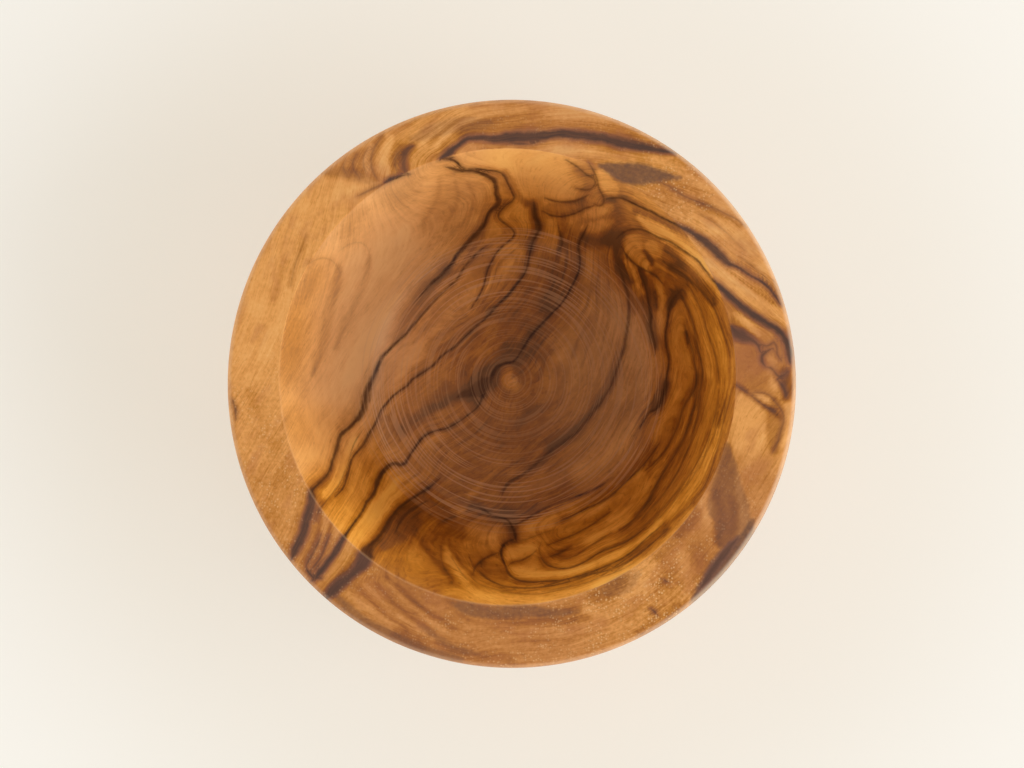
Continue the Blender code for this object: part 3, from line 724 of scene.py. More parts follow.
rimWashes = {
    "topRimMauve": {"half": 7, "tone": 0.20, "route": [
        (462, 132), (480, 127), (505, 123), (530, 121), (560, 123), (590, 127), (612, 132),
        (632, 137)]},
    "topRimGoldA": {"half": 4, "tone": -0.14, "route": [
        (424, 142), (438, 128), (456, 116), (478, 110), (500, 107)]},
    "topRimGoldB": {"half": 2.5, "tone": -0.16, "route": [
        (436, 146), (448, 133), (464, 122), (482, 116), (504, 111), (526, 108)]},
    "topRimBrownA": {"half": 2.5, "tone": 0.16, "route": [
        (430, 143), (443, 130), (460, 119), (480, 113), (503, 109), (530, 107)]},
    "topRimBrownB": {"half": 3, "tone": 0.14, "route": [
        (442, 148), (455, 135), (470, 126), (488, 120), (510, 116), (540, 114)]},
    "underBandMauve": {"half": 3, "tone": 0.14, "route": [
        (478, 146), (500, 148), (520, 149), (545, 145), (570, 142), (595, 145), (620, 151)]},
    "underBandGold": {"half": 4, "tone": -0.16, "route": [(556, 150), (585, 152), (610, 156), (632, 160)]},
    "topGoldRight": {"half": 5, "tone": -0.14, "route": [(655, 160), (672, 168), (690, 177), (704, 186)]},
    "goldBandRim": {"half": 8, "tone": -0.20, "edge": 6, "route": [
        (706, 266), (722, 279), (738, 291), (754, 302), (770, 313), (781, 322)]},
    "goldBandJoin": {"half": 8, "tone": 0.14, "route": [(688, 234), (700, 249), (711, 264), (719, 278)]},
    "goldBandLineA": {"half": 1.4, "tone": 0.30, "route": [(728, 270), (742, 281), (758, 292), (773, 303)]},
    "goldBandLineB": {"half": 1.2, "tone": 0.22, "route": [(736, 267), (748, 277), (762, 288), (775, 297)]},
    "roseRight": {"half": 9, "tone": 0.14, "route": [(700, 205), (718, 222), (734, 240), (752, 262)]},
    "brownPores": {"half": 2.5, "tone": 0.24, "route": [(702, 205), (715, 212), (728, 219), (740, 226)]},
    "goldOuter": {"half": 6, "tone": -0.16, "route": [(712, 228), (724, 232), (738, 242), (750, 252)]},
    "roseBlock": {"half": 18, "tone": 0.10, "edge": 5, "route": [(750, 362), (752, 378, 0.9)]},
    "yellowA": {"half": 4, "tone": -0.18, "edge": 3, "route": [(768, 356), (773, 362), (770, 370)]},
    "yellowB": {"half": 3.5, "tone": -0.16, "edge": 3, "route": [(772, 380), (776, 388)]},
    "yellowC": {"half": 3, "tone": -0.20, "edge": 3, "route": [(750, 394), (760, 398), (770, 403)]},
    "yellowField": {"half": 15, "tone": -0.10, "edge": 6, "route": [(745, 408), (750, 425), (748, 442)]},
    "forkBrown": {"half": 2.5, "tone": 0.34, "route": [
        (737, 384), (748, 393), (760, 402), (772, 410), (780, 418)]},
    "forkRed": {"half": 7, "tone": 0.20, "edge": 4, "route": [
        (774, 402, 0.7), (776, 414, 1.1), (775, 427, 1.2), (774, 440, 0.9), (775, 452, 0.4)]},
    "limbDark": {"half": 5, "tone": 0.42, "edge": 5, "route": [(784, 372), (787, 384), (787, 397)]},
    "limbOrange": {"half": 3, "tone": -0.16, "route": [(789, 400), (787, 420), (783, 445)]},
    "blobC": {"half": 7.5, "tone": 0.42, "edge": 5, "route": [(735, 333), (743, 337), (752, 340, 0.6)]},
    "stripeAboveC": {"half": 3.5, "tone": -0.24, "edge": 3, "route": [(736, 314), (747, 324), (758, 334)]},
    "roseAboveC": {"half": 5, "tone": 0.14, "route": [(726, 302), (736, 312), (733, 322)]},
    "mouthMauve": {"half": 8, "tone": 0.22, "edge": 5, "route": [(694, 514), (686, 524), (678, 534, 0.6)]},
    "apexMauve": {"half": 9, "tone": 0.28, "edge": 6, "route": [
        (728, 446, 0.3), (728, 460, 0.7), (726, 478), (724, 498, 1.3), (726, 518, 1.5),
        (724, 536, 1.2)]},
    "mauveStreakA": {"half": 4, "tone": 0.24, "route": [(716, 492), (720, 508), (722, 526), (718, 542)]},
    "mauveStreakB": {"half": 3.5, "tone": 0.20, "route": [(732, 500), (734, 516), (732, 534)]},
    "goldBesideMauve": {"half": 4, "tone": -0.14, "route": [(704, 494), (702, 506), (706, 518)]},
    "lowRightYellowA": {"half": 7, "tone": -0.18, "route": [(684, 556), (684, 572)]},
    "lowRightYellowB": {"half": 9, "tone": -0.16, "route": [(626, 594), (642, 584)]},
    "lowRightYellowC": {"half": 6, "tone": -0.14, "route": [(640, 572), (652, 566)]},
    "lowRightMauveB": {"half": 8, "tone": 0.14, "route": [(664, 560), (668, 574), (662, 586, 0.7)]},
    "lowRightBrown": {"half": 7, "tone": 0.14, "edge": 8, "route": [(696, 552), (704, 566), (700, 580)]},
    "redPatch": {"half": 9, "tone": 0.26, "edge": 6, "route": [
        (592, 598, 0.6), (606, 592), (620, 583, 0.8)]},
    "yellowDab": {"half": 6, "tone": -0.16, "route": [(588, 608), (594, 612)]},
    "limbBrownLow": {"half": 5, "tone": 0.20, "route": [(640, 634), (660, 622), (680, 606)]},
    "stripeRim": {"half": 5, "tone": -0.12, "edge": 3, "route": [
        (352, 545), (344, 556), (336, 567), (328, 577)]},
    "mauveVein": {"half": 9, "tone": 0.14, "route": [(322, 508), (320, 526), (314, 546), (306, 560)]},
    "redStreakA": {"half": 2.5, "tone": 0.24, "route": [(331, 524), (327, 540), (319, 558), (312, 570)]},
    "redStreakB": {"half": 2.5, "tone": 0.20, "route": [(321, 512), (319, 530), (312, 550), (305, 564)]},
    "pinkStreak": {"half": 3, "tone": -0.14, "route": [(325, 516), (323, 534), (316, 552)]},
    "pinkStreakB": {"half": 3, "tone": -0.14, "route": [(338, 532), (333, 546), (325, 560)]},
    "bandDark": {"half": 6, "tone": 0.22, "edge": 6, "route": [
        (370, 553), (363, 562), (353, 571), (341, 581), (330, 592)]},
    "bandGold": {"half": 5, "tone": -0.20, "route": [(350, 594), (362, 604), (378, 616), (396, 626)]},
    "limbDarkLow": {"half": 5, "tone": 0.30, "route": [(396, 634), (410, 641), (424, 647)]},
    "streakPaleA": {"half": 2, "tone": -0.20, "route": [(366, 586), (384, 604), (402, 618), (424, 632)]},
    "streakPaleB": {"half": 2, "tone": -0.18, "route": [(388, 584), (404, 600), (424, 617), (444, 630)]},
    "streakDarkA": {"half": 1.8, "tone": 0.22, "route": [(376, 584), (394, 602), (414, 619), (436, 634)]},
    "streakDarkB": {"half": 2.2, "tone": 0.20, "route": [(398, 584), (416, 602), (436, 618), (458, 630)]},
    "streakDarkC": {"half": 1.8, "tone": 0.22, "route": [(360, 590), (374, 604), (390, 618), (408, 630)]},
    "streakDarkD": {"half": 1.6, "tone": 0.20, "route": [(384, 574), (402, 592), (424, 609), (448, 622)]},
    "bottomMauveBand": {"half": 7, "tone": 0.26, "route": [
        (452, 600), (476, 609), (500, 613), (525, 615), (550, 614), (575, 610)]},
    "bottomMauveB": {"half": 3, "tone": 0.16, "route": [(500, 622), (530, 624), (560, 622), (590, 618)]},
    "bottomLineA": {"half": 1.6, "tone": 0.16, "route": [(455, 612), (475, 622), (500, 630), (525, 634)]},
    "bottomLineB": {"half": 1.6, "tone": 0.14, "route": [(520, 640), (545, 642), (575, 638), (600, 632)]},
    "limbRed": {"half": 5, "tone": 0.20, "route": [(440, 643), (460, 651), (482, 656), (510, 659)]},
    "barkDark": {"half": 5, "tone": 0.24, "edge": 4, "route": [(411, 148), (404, 158), (405, 172)]},
    "barkBrown": {"half": 5, "tone": 0.16, "edge": 5, "route": [(401, 148), (395, 160), (398, 174)]},
    "barkGold": {"half": 4, "tone": -0.18, "edge": 3, "route": [
        (390, 138), (386, 150), (384, 162), (386, 172)]},
    "barkRed": {"half": 4, "tone": 0.16, "edge": 4, "route": [
        (380, 139), (373, 152), (371, 164), (375, 177)]},
    "barkGoldB": {"half": 3, "tone": -0.16, "edge": 3, "route": [(372, 148), (367, 158), (368, 170)]},
    "barkEdge": {"half": 3, "tone": 0.18, "edge": 4, "route": [(362, 151), (358, 160), (360, 171)]},
    "barkEdgeB": {"half": 3, "tone": 0.14, "edge": 4, "route": [(354, 155), (350, 162), (352, 171)]},
    "brownFan": {"half": 6, "tone": 0.20, "edge": 9, "route": [
        (326, 174, 0.5), (342, 172), (356, 174), (370, 180, 0.6)]},
    "goldRim": {"half": 9, "tone": -0.10, "route": [(330, 200), (345, 192), (358, 188)]},
    "rimLineLeft": {"half": 4, "tone": 0.09, "route": [(304, 240), (299, 255), (295, 270), (291, 284)]},
    "rimLineLeftB": {"half": 3, "tone": 0.10, "route": [(286, 262), (280, 280), (274, 300)]},
    "rimLowTone": {"half": 8, "tone": 0.10, "route": [(250, 395), (262, 420), (276, 450)]},
}

# The same on the wall and the floor of the hollow

hollowWashes = {
    "coneGold": {"half": 10, "tone": -0.04, "route": [
        (468, 158), (490, 160), (520, 165), (545, 178), (562, 188)]},
    "coneBrown": {"half": 3, "tone": 0.30, "edge": 4, "route": [
        (505, 172), (510, 180), (515, 190), (520, 197), (526, 204)]},
    "coneSmoke": {"half": 8, "tone": 0.38, "route": [(533, 205), (537, 218), (536, 230), (531, 244)]},
    "coneShadow": {"half": 6, "tone": 0.26, "edge": 4, "route": [
        (548, 208, 0.6), (560, 209), (572, 207), (584, 202, 0.6)]},
    "coneSide": {"half": 5, "tone": 0.20, "route": [(576, 172), (586, 180), (588, 188)]},
    "underConeDark": {"half": 6, "tone": 0.34, "route": [(563, 220), (566, 232), (563, 248)]},
    "dropFill": {"half": 5, "tone": 0.20, "route": [(490, 172), (501, 182), (505, 196), (498, 208)]},
    "leftOfDrop": {"half": 5, "tone": 0.12, "route": [(508, 205), (512, 218), (521, 230)]},
    "dropSmoke": {"half": 6, "tone": 0.18, "route": [(494, 208), (488, 218), (482, 230), (470, 244)]},
    "wallArcLeftA": {"half": 2.2, "tone": 0.16, "route": [
        (455, 182), (458, 195), (454, 210), (446, 224), (434, 238)]},
    "wallArcLeftB": {"half": 2.2, "tone": 0.18, "route": [
        (468, 184), (474, 196), (472, 210), (464, 222), (452, 234)]},
    "wallArcLeftC": {"half": 2, "tone": 0.14, "route": [(440, 180), (438, 196), (431, 210), (420, 226)]},
    "wallTanLeft": {"half": 8, "tone": -0.10, "route": [(430, 176), (424, 195), (414, 215), (402, 234)]},
    "goldInsideA": {"half": 5, "tone": -0.20, "route": [
        (636, 196, 0.6), (650, 203), (663, 211.5), (675, 220.5), (684, 230, 0.6)]},
    "goldInsideB": {"half": 6, "tone": -0.16, "route": [
        (676, 233, 0.6), (687, 242), (696, 252), (704, 263, 0.6)]},
    "nibSmoke": {"half": 6, "tone": 0.36, "route": [
        (494, 371, 0.6), (485, 380), (476, 387), (466, 392, 0.6)]},
    "underLoop": {"half": 7, "tone": 0.26, "edge": 3, "route": [
        (668, 248, 0.6), (679, 255), (688, 262), (696, 270), (702, 279), (708, 290), (713, 302, 0.6)]},
    "paleBlockA": {"half": 5, "tone": -0.26, "edge": 4, "route": [
        (586, 215, 0.6), (594, 212.5), (602, 210), (610, 207, 0.7)]},
    "paleBlockB": {"half": 5, "tone": -0.25, "edge": 4, "route": [
        (585, 228, 0.8), (593, 227), (601, 225.5), (612, 221, 0.4)]},
    "darkBlock": {"half": 6, "tone": 0.36, "route": [(586, 240), (598, 242), (610, 240)]},
    "oliveSide": {"half": 7, "tone": 0.28, "route": [(612, 202), (618, 214), (616, 228), (610, 238)]},
    "goldEdge": {"half": 7, "tone": -0.26, "edge": 4, "route": [(602, 176), (607, 184), (612, 190)]},
    "tanAbove": {"half": 5, "tone": -0.20, "route": [(630, 188), (648, 193), (666, 201), (684, 214)]},
    "veinUnderA": {"half": 2, "tone": 0.34, "route": [
        (634, 211), (648, 217), (662, 223), (676, 230), (688, 236)]},
    "goldBand": {"half": 6, "tone": -0.46, "edge": 5, "route": [
        (640, 217, 0.5), (652, 226), (668, 238), (684, 251), (700, 266), (714, 281), (722, 290)]},
    "blobA": {"half": 10, "tone": -0.26, "edge": 5, "route": [
        (634, 241, 0.7), (634, 250), (640, 260, 0.8), (648, 270, 0.35)]},
    "blobB": {"half": 6.5, "tone": -0.22, "edge": 4, "route": [(651, 247), (656, 252)]},
    "blobNotch": {"half": 2.5, "tone": 0.60, "route": [(644, 251), (649, 257), (652, 264)]},
    "loopInside": {"half": 8, "tone": 0.14, "route": [(664, 254), (676, 264), (690, 277)]},
    "darkRing": {"half": 4, "tone": 0.55, "route": [
        (619, 238), (616, 248), (619, 260), (625, 270), (632, 281)]},
    "goldSliver": {"half": 4, "tone": -0.30, "edge": 3, "route": [
        (626, 262, 0.6), (632, 272), (638, 282), (644, 292, 0.5)]},
    "darkWedge": {"half": 6, "tone": 0.40, "edge": 5, "route": [
        (641, 272, 0.5), (647, 284), (652, 297, 0.8), (656, 308, 0.4)]},
    "oliveGold": {"half": 4, "tone": -0.16, "route": [(655, 280), (660, 298), (661, 316), (660, 332)]},
    "darkKnee": {"half": 12, "tone": 0.20, "edge": 6, "route": [
        (676, 272, 0.8), (676, 284), (674, 296, 0.8), (668, 306, 0.3)]},
    "kneeTip": {"half": 5, "tone": 0.24, "route": [(676, 296), (671, 304)]},
    "goldenPanel": {"half": 9, "tone": -0.10, "edge": 5, "route": [
        (678, 316, 0.6), (680, 335), (681, 355), (682, 375), (680, 395, 0.7)]},
    "panelSpot": {"half": 2, "tone": 0.40, "route": [(686, 333), (688, 342)]},
    "smokeSixth": {"half": 5, "tone": 0.36, "route": [(618, 268), (624, 282), (630, 296), (633, 310)]},
    "smokeSeventh": {"half": 6.5, "tone": 0.36, "edge": 7, "route": [
        (640, 300, 0.5), (646, 312), (650, 324), (653, 336), (656, 348, 0.4)]},
    "darkFoot": {"half": 5, "tone": 0.40, "route": [(666, 384), (662, 396), (656, 408)]},
    "rightWallGoldA": {"half": 3, "tone": -0.20, "route": [(690, 300), (700, 325), (706, 350), (709, 375)]},
    "rightWallGoldB": {"half": 2.5, "tone": -0.12, "route": [
        (716, 330), (722, 350), (727, 372), (729, 392)]},
    "rightWallGoldC": {"half": 3, "tone": -0.08, "route": [(700, 290), (712, 312), (722, 338)]},
    "rightLineA": {"half": 1.3, "tone": -0.22, "route": [
        (723, 424), (715, 449), (704, 471), (690, 492), (674, 511)]},
    "rightLineB": {"half": 1.1, "tone": -0.20, "route": [(713, 424), (706, 446), (696, 466), (682, 487)]},
    "rightLineC": {"half": 1.2, "tone": -0.20, "route": [
        (692, 398), (688, 415), (682, 430), (674, 446), (664, 461)]},
    "rightDarkSpot": {"half": 3.5, "tone": 0.22, "route": [(697, 376), (693, 386), (687, 394), (682, 402)]},
    "rightMouthOrange": {"half": 5, "tone": 0.02, "route": [
        (730, 320), (734, 345), (735, 375), (733, 400)]},
    "lowRightWallGold": {"half": 3, "tone": -0.22, "route": [
        (716, 430), (706, 455), (692, 480), (676, 502), (658, 524), (640, 543)]},
    "mouthGoldRight": {"half": 6, "tone": -0.06, "route": [(731, 400), (724, 430), (714, 455), (700, 482)]},
    "mouthGoldLow": {"half": 8, "tone": -0.34, "route": [
        (694, 514), (678, 535), (655, 555), (628, 572), (600, 587)]},
    "darkSweep": {"half": 7, "tone": 0.10, "route": [
        (676, 452), (664, 478), (650, 502), (634, 522), (616, 536)]},
    "innerSweep": {"half": 5, "tone": 0.12, "route": [(650, 440), (636, 462), (616, 482), (594, 498)]},
    "goldSweepA": {"half": 5, "tone": -0.20, "route": [(640, 472), (620, 490), (598, 506), (576, 516)]},
    "goldSweepB": {"half": 5, "tone": -0.20, "route": [(655, 440), (668, 415), (676, 395)]},
    "goldSweepC": {"half": 4, "tone": -0.16, "route": [(664, 462), (650, 484), (634, 504), (612, 520)]},
    "mouthGoldBottom": {"half": 7, "tone": -0.14, "route": [
        (448, 590), (480, 595), (515, 599), (550, 597), (585, 590), (612, 580)]},
    "knotSmoke": {"half": 8, "tone": 0.28, "route": [(508, 516), (511, 530), (513, 542)]},
    "knotGoldA": {"half": 6, "tone": -0.34, "edge": 8, "route": [(512, 553), (521, 552), (530, 550)]},
    "knotGoldB": {"half": 4, "tone": -0.18, "edge": 6, "route": [
        (518, 570), (534, 574), (552, 574), (574, 571), (592, 565, 0.6)]},
    "knotOlive": {"half": 9, "tone": 0.20, "edge": 5, "route": [
        (484, 567, 0.7), (494, 571), (502, 577, 0.6)]},
    "goldLeftKnot": {"half": 6, "tone": -0.14, "edge": 5, "route": [(466, 548), (480, 545), (494, 540)]},
    "goldLower": {"half": 4, "tone": -0.22, "edge": 4, "route": [(447, 556), (456, 568), (466, 579)]},
    "goldUpper": {"half": 6, "tone": -0.22, "edge": 6, "route": [(524, 524), (538, 526), (554, 520)]},
    "tanUpper": {"half": 6, "tone": -0.20, "edge": 6, "route": [(472, 530), (486, 534), (498, 530)]},
    "lensDark": {"half": 6, "tone": 0.26, "route": [(548, 556), (562, 553), (578, 547)]},
    "lensGold": {"half": 4, "tone": -0.20, "route": [(590, 540), (610, 530), (630, 518)]},
    "loopGold": {"half": 3, "tone": -0.22, "route": [
        (560, 575), (590, 566), (618, 554), (640, 540), (660, 522)]},
    "floorFootDark": {"half": 8, "tone": 0.26, "route": [(470, 506), (490, 512), (512, 514), (530, 511)]},
    "cornerDark": {"half": 13, "tone": 0.12, "route": [(425, 503), (440, 514), (455, 524)]},
    "lowLeftDark": {"half": 14, "tone": 0.20, "edge": 10, "route": [
        (375, 551, 0.45), (386, 536, 0.8), (396, 526), (408, 515)]},
    "bottomLeftGoldA": {"half": 7, "tone": -0.14, "route": [(410, 552), (424, 560)]},
    "bottomLeftStreak": {"half": 3, "tone": -0.20, "route": [(446, 548), (452, 560), (460, 572)]},
    "bottomLeftArcs": {"half": 3, "tone": 0.18, "route": [(414, 530), (424, 545), (436, 562), (452, 578)]},
    "stripe": {"half": 9, "tone": -0.18, "edge": 4, "route": [
        (398, 486, 0.4), (390, 495, 0.7), (381, 507), (372, 520), (363, 533), (355, 543)]},
    "goldThin": {"half": 4, "tone": -0.28, "edge": 3, "route": [
        (354, 442), (348, 455), (342, 469), (336, 482), (326, 495)]},
    "orangeWall": {"half": 9, "tone": 0.05, "route": [(366, 462), (362, 480), (352, 500)]},
    "brownBetween": {"half": 4, "tone": 0.16, "route": [(349, 474), (346, 488), (340, 502)]},
    "besideSecond": {"half": 5, "tone": 0.14, "edge": 4, "route": [
        (346, 436), (341, 448), (338, 462), (331, 474), (322, 484)]},
    "smokeSecond": {"half": 9, "tone": 0.24, "route": [(370, 372), (362, 392), (355, 410), (344, 425)]},
    "smokeThird": {"half": 6, "tone": 0.12, "route": [(376, 424), (369, 438), (362, 450)]},
    "orangeThird": {"half": 5, "tone": -0.10, "route": [(382, 404), (376, 414), (366, 428), (356, 440)]},
    "smokeFourth": {"half": 6, "tone": 0.12, "route": [(388, 466), (381, 480), (373, 494)]},
    "lowLeftBrown": {"half": 12, "tone": 0.10, "route": [(392, 440), (386, 455), (372, 466)]},
    "palePatch": {"half": 8, "tone": -0.10, "route": [(345, 210), (352, 202), (360, 198)]},
    "orangeLeft": {"half": 12, "tone": 0.08, "route": [(300, 285), (292, 320), (292, 355), (300, 385)]},
    "wallBrownA": {"half": 4, "tone": 0.28, "route": [
        (340, 268, 0.5), (338, 285), (331, 310), (323, 342), (313, 375, 0.5)]},
    "wallPaleA": {"half": 6, "tone": -0.16, "route": [(350, 380), (362, 350), (378, 322), (396, 296)]},
    "wallBrownB": {"half": 4, "tone": 0.28, "route": [
        (369, 256, 0.5), (366, 275), (357, 300), (347, 322), (335, 348, 0.5)]},
    "wallBrownC": {"half": 4, "tone": 0.10, "route": [
        (340, 352, 0.4), (362, 312), (378, 287), (392, 268, 0.5)]},
    "floorSmokeA": {"half": 6, "tone": 0.34, "route": [
        (396, 338), (404, 322), (416, 304), (430, 288), (446, 270)]},
    "floorPaleA": {"half": 7, "tone": -0.26, "route": [
        (408, 362), (424, 342), (442, 322), (462, 302), (480, 285)]},
    "floorPaleB": {"half": 5, "tone": -0.26, "route": [(470, 310), (485, 292), (498, 275), (510, 262)]},
    "floorPaleC": {"half": 4, "tone": -0.22, "route": [(420, 322), (436, 302), (452, 286), (466, 272)]},
    "floorGold": {"half": 6, "tone": -0.20, "route": [(498, 250), (510, 246), (522, 252)]},
    "floorUpDark": {"half": 11, "tone": 0.30, "route": [(548, 265), (552, 285), (545, 305)]},
    "floorBetween": {"half": 8, "tone": 0.20, "route": [(530, 290), (520, 306), (506, 320)]},
    "floorDarkMid": {"half": 12, "tone": 0.24, "route": [(542, 330), (530, 350), (512, 356)]},
    "floorTanDrop": {"half": 5, "tone": -0.18, "route": [(590, 255), (590, 268), (586, 280)]},
    "blob": {"half": 10, "tone": 0.60, "route": [(490, 376), (482, 384), (474, 390)]},
    "blobTail": {"half": 7, "tone": 0.42, "route": [
        (468, 394), (452, 400), (436, 407), (418, 418), (402, 430)]},
    "nibPale": {"half": 6, "tone": -0.30, "edge": 6, "route": [(509, 369, 0.6), (506, 378), (513, 386)]},
    "nibDark": {"half": 4, "tone": 0.12, "route": [(520, 368), (523, 380), (517, 392), (505, 395)]},
    "floorOlive": {"half": 6, "tone": 0.20, "route": [(446, 388), (436, 396), (424, 404)]},
    "floorGoldLeft": {"half": 8, "tone": -0.26, "route": [(404, 376), (396, 388), (390, 402)]},
    "floorGoldLow": {"half": 7, "tone": -0.18, "route": [(412, 454), (424, 446), (438, 436)]},
    "floorOrangeLow": {"half": 6, "tone": -0.10, "route": [(396, 436), (390, 452), (386, 470)]},
    "floorDarkLow": {"half": 16, "tone": 0.10, "route": [(480, 440), (510, 430), (540, 415)]},
    "floorPaleRight": {"half": 14, "tone": -0.10, "route": [(600, 300), (618, 330), (624, 360)]},
    "floorPaleLow": {"half": 8, "tone": -0.26, "route": [(632, 425), (618, 445), (598, 460), (575, 472)]},
    "sixthSmoke": {"half": 7, "tone": 0.30, "route": [
        (621, 350), (614, 372), (604, 392), (590, 412), (572, 430), (550, 446)]},
    "fifthSmoke": {"half": 6, "tone": 0.12, "route": [(425, 490), (410, 502), (396, 514), (386, 526)]},
    "footTanA": {"half": 3, "tone": -0.24, "route": [(468, 497), (480, 486)]},
    "footTanB": {"half": 3, "tone": -0.22, "route": [(458, 516), (470, 502)]},
}

# x, y and reach in the photograph's pixels, then tone from 0 straw to 1 umber, figure, how strong the growth
# lines are, specks and glints, how open the end grain is with its painted glints, and mauve and sheen, mauve
# on the rim and a painted pale sheen in the hollow

rimTones = {
    "left": (262, 330, 40, 0.16, 0.10, 0.2, 0.0),
    "leftLow": (258, 420, 32, 0.23, 0.10, 0.8, 0.10),
    "lowerLeft": (280, 490, 28, 0.33, 0.15, 0.9, 0.20),
    "lowerLeftMauve": (322, 535, 16, 0.30, 0.2, 0.3, 0.55),
    "lowerLeftGold": (340, 561, 9, 0.52, 0.1, 0.1, 0.0),
    "upperLeft": (290, 240, 35, 0.20, 0.12, 0.2, 0.0),
    "upperLeftGold": (340, 195, 18, 0.22, 0.2, 0.0, 0.0),
    "upperLeftBrown": (355, 165, 20, 0.17, 0.3, 0.1, 0.50),
    "topLeft": (400, 140, 20, 0.31, 0.3, 0.2, 0.0),
    "topLeftGold": (440, 118, 18, 0.26, 0.4, 0.1, 0.1),
    "top": (510, 113, 25, 0.28, 0.4, 0.3, 0.40),
    "topRight": (590, 120, 25, 0.08, 0.4, 0.3, 0.60),
    "underBand": (610, 152, 20, 0.46, 0.2, 0.2, 0.0),
    "topRightSpeckled": (662, 162, 14, 0.38, 0.1, 0.8, 0.0),
    "pores": (690, 192, 14, 0.44, 0.1, 1.60, 0.45),
    "upperRight": (715, 218, 22, 0.09, 0.15, 0.4, 0.15),
    "upperRightOuter": (748, 262, 18, 0.12, 0.15, 0.3, 0.3),
    "rightGold": (755, 300, 16, 0.38, 0.3, 0.0, 0.0),
    "rightBlock": (750, 366, 18, 0.45, 0.0, 0.1, 0.75),
    "rightYellow": (752, 425, 26, 0.28, 0.1, 0.00, 0.00),
    "lowRight": (740, 480, 20, 0.38, 0.1, 0.4, 0.55),
    "lowRightMauve": (725, 515, 18, 0.25, 0.1, 0.4, 0.75),
    "lowRightPlain": (690, 550, 20, 0.46, 0.1, 0.6, 0.5),
    "lowRightGold": (655, 585, 22, 0.34, 0.30, 1.60, 0.05),
    "bottomRight": (610, 605, 25, 0.32, 0.35, 1.00, 0.25),
    "bottom": (540, 630, 30, 0.35, 0.35, 0.80, 0.6),
    "bottomLeft": (460, 625, 28, 0.37, 0.40, 0.60, 0.6),
    "bottomLeftRed": (400, 600, 25, 0.50, 0.25, 0.30, 0.6),
    "bottomLeftPale": (360, 595, 16, 0.51, 0.2, 0.6, 0.3),
}

hollowTones = {
    "coneTop": (535, 172, 24, 0.16, 0.05, 0.0, 0.22),
    "upperMouth": (398, 186, 14, 0.55, 0.08, 0.0, 0.50),
    "upperLeftMouth": (352, 222, 18, 0.54, 0.08, 0.1, 0.28),
    "leftUpperMouth": (314, 270, 18, 0.43, 0.15, 0.1, 0.22),
    "leftMouth": (300, 340, 26, 0.44, 0.10, 0.15, 0.10),
    "leftLower": (318, 440, 26, 0.16, 0.10, 0.05, 0.27),
    "leftWall": (345, 350, 30, 0.03, 0.30, 0.0, 0.75),
    "upperLeftWall": (370, 255, 35, 0.03, 0.30, 0.0, 0.60),
    "upperWall": (440, 205, 28, 0.32, 0.18, 0.0, 0.30),
    "upperMiddle": (520, 215, 20, 0.28, 0.35, 0.0, 0.0),
    "upperRightCone": (600, 190, 15, 0.48, 0.3, 0.0, 0.20),
    "upperRightWall": (650, 225, 22, 0.54, 0.50, 0.0, 0.15),
    "upperRightMouth": (700, 258, 9, 0.30, 0.30, 0.0, 0.15),
    "upperRightLow": (650, 275, 20, 0.45, 0.7, 0.0, 0.0),
    "rightWall": (705, 340, 22, 0.49, 0.45, 0.0, 0.0),
    "rightPanel": (682, 350, 12, 0.45, 0.15, 0.0, 0.0),
    "rightLow": (690, 420, 22, 0.50, 0.42, 0.0, 0.0),
    "lowRightWall": (655, 485, 28, 0.46, 0.50, 0.0, 0.0),
    "lowRightMouth": (668, 530, 18, 0.60, 0.24, 0.0, 0.0),
    "bottomWall": (570, 550, 25, 0.34, 0.28, 0.0, 0.0),
    "bottomMouth": (530, 592, 25, 0.35, 0.26, 0.0, 0.0),
    "bottomLeftWall": (430, 550, 25, 0.56, 0.50, 0.0, 0.0),
    "bottomLeftMouth": (400, 572, 18, 0.51, 0.4, 0.0, 0.06),
    "lowerLeftMouth": (292, 430, 12, 0.45, 0.10, 0.05, 0.20),
    "lowLeftMouth": (320, 492, 12, 0.66, 0.25, 0.0, 0.0),
    "lowLeftWall": (355, 485, 22, 0.18, 0.6, 0.0, 0.0),
    "floorUp": (500, 262, 25, 0.46, 0.70, 0.0, 0.16),
    "floorUpLeft": (440, 300, 25, 0.51, 0.70, 0.0, 0.32),
    "floorMiddle": (505, 345, 30, 0.68, 0.60, 0.0, 0.13),
    "floorUpRight": (560, 300, 22, 0.65, 0.50, 0.0, 0.10),
    "floorRight": (605, 340, 30, 0.32, 0.40, 0.0, 0.42),
    "floorRightLow": (600, 420, 28, 0.44, 0.50, 0.0, 0.36),
    "floorLow": (520, 440, 32, 0.64, 0.50, 0.0, 0.18),
    "floorLeft": (420, 410, 25, 0.52, 0.60, 0.0, 0.25),
    "floorFoot": (500, 495, 22, 0.52, 0.6, 0.0, 0.2),
}

# Distances in pixels; sway and lean are waves, with turns round the cup and down it, start and size

grain = {
    "pixelsPerMm": 9.565,
    "smoothSpacing": 3.0,
    "knotSpacing": 9.0,
    "endTaper": 0.4,
    "reach": 9.0,
    "smokeReach": 13.0,
    "veinWidth": 0.52,
    "stainReach": 8.0,
    "segmentsAtOnce": 12,
    "pointsAtOnce": 4000,
    "ringSmoothing": 0.02,
    "sideWander": 26.0,
    "youngSmoke": 0.35,
    "unitPixels": 100.0,
    "plainWood": (0.4, 0.3, 0.2, 0.0),
    "tiny": 1e-9,
    "sway": ((3, 5, 0.0, 1.0), (7, -8, 0.0, 0.6)),
    "lean": ((2, -4, math.pi / 2, 1.0), (5, 9, 0.0, 0.5)),
}


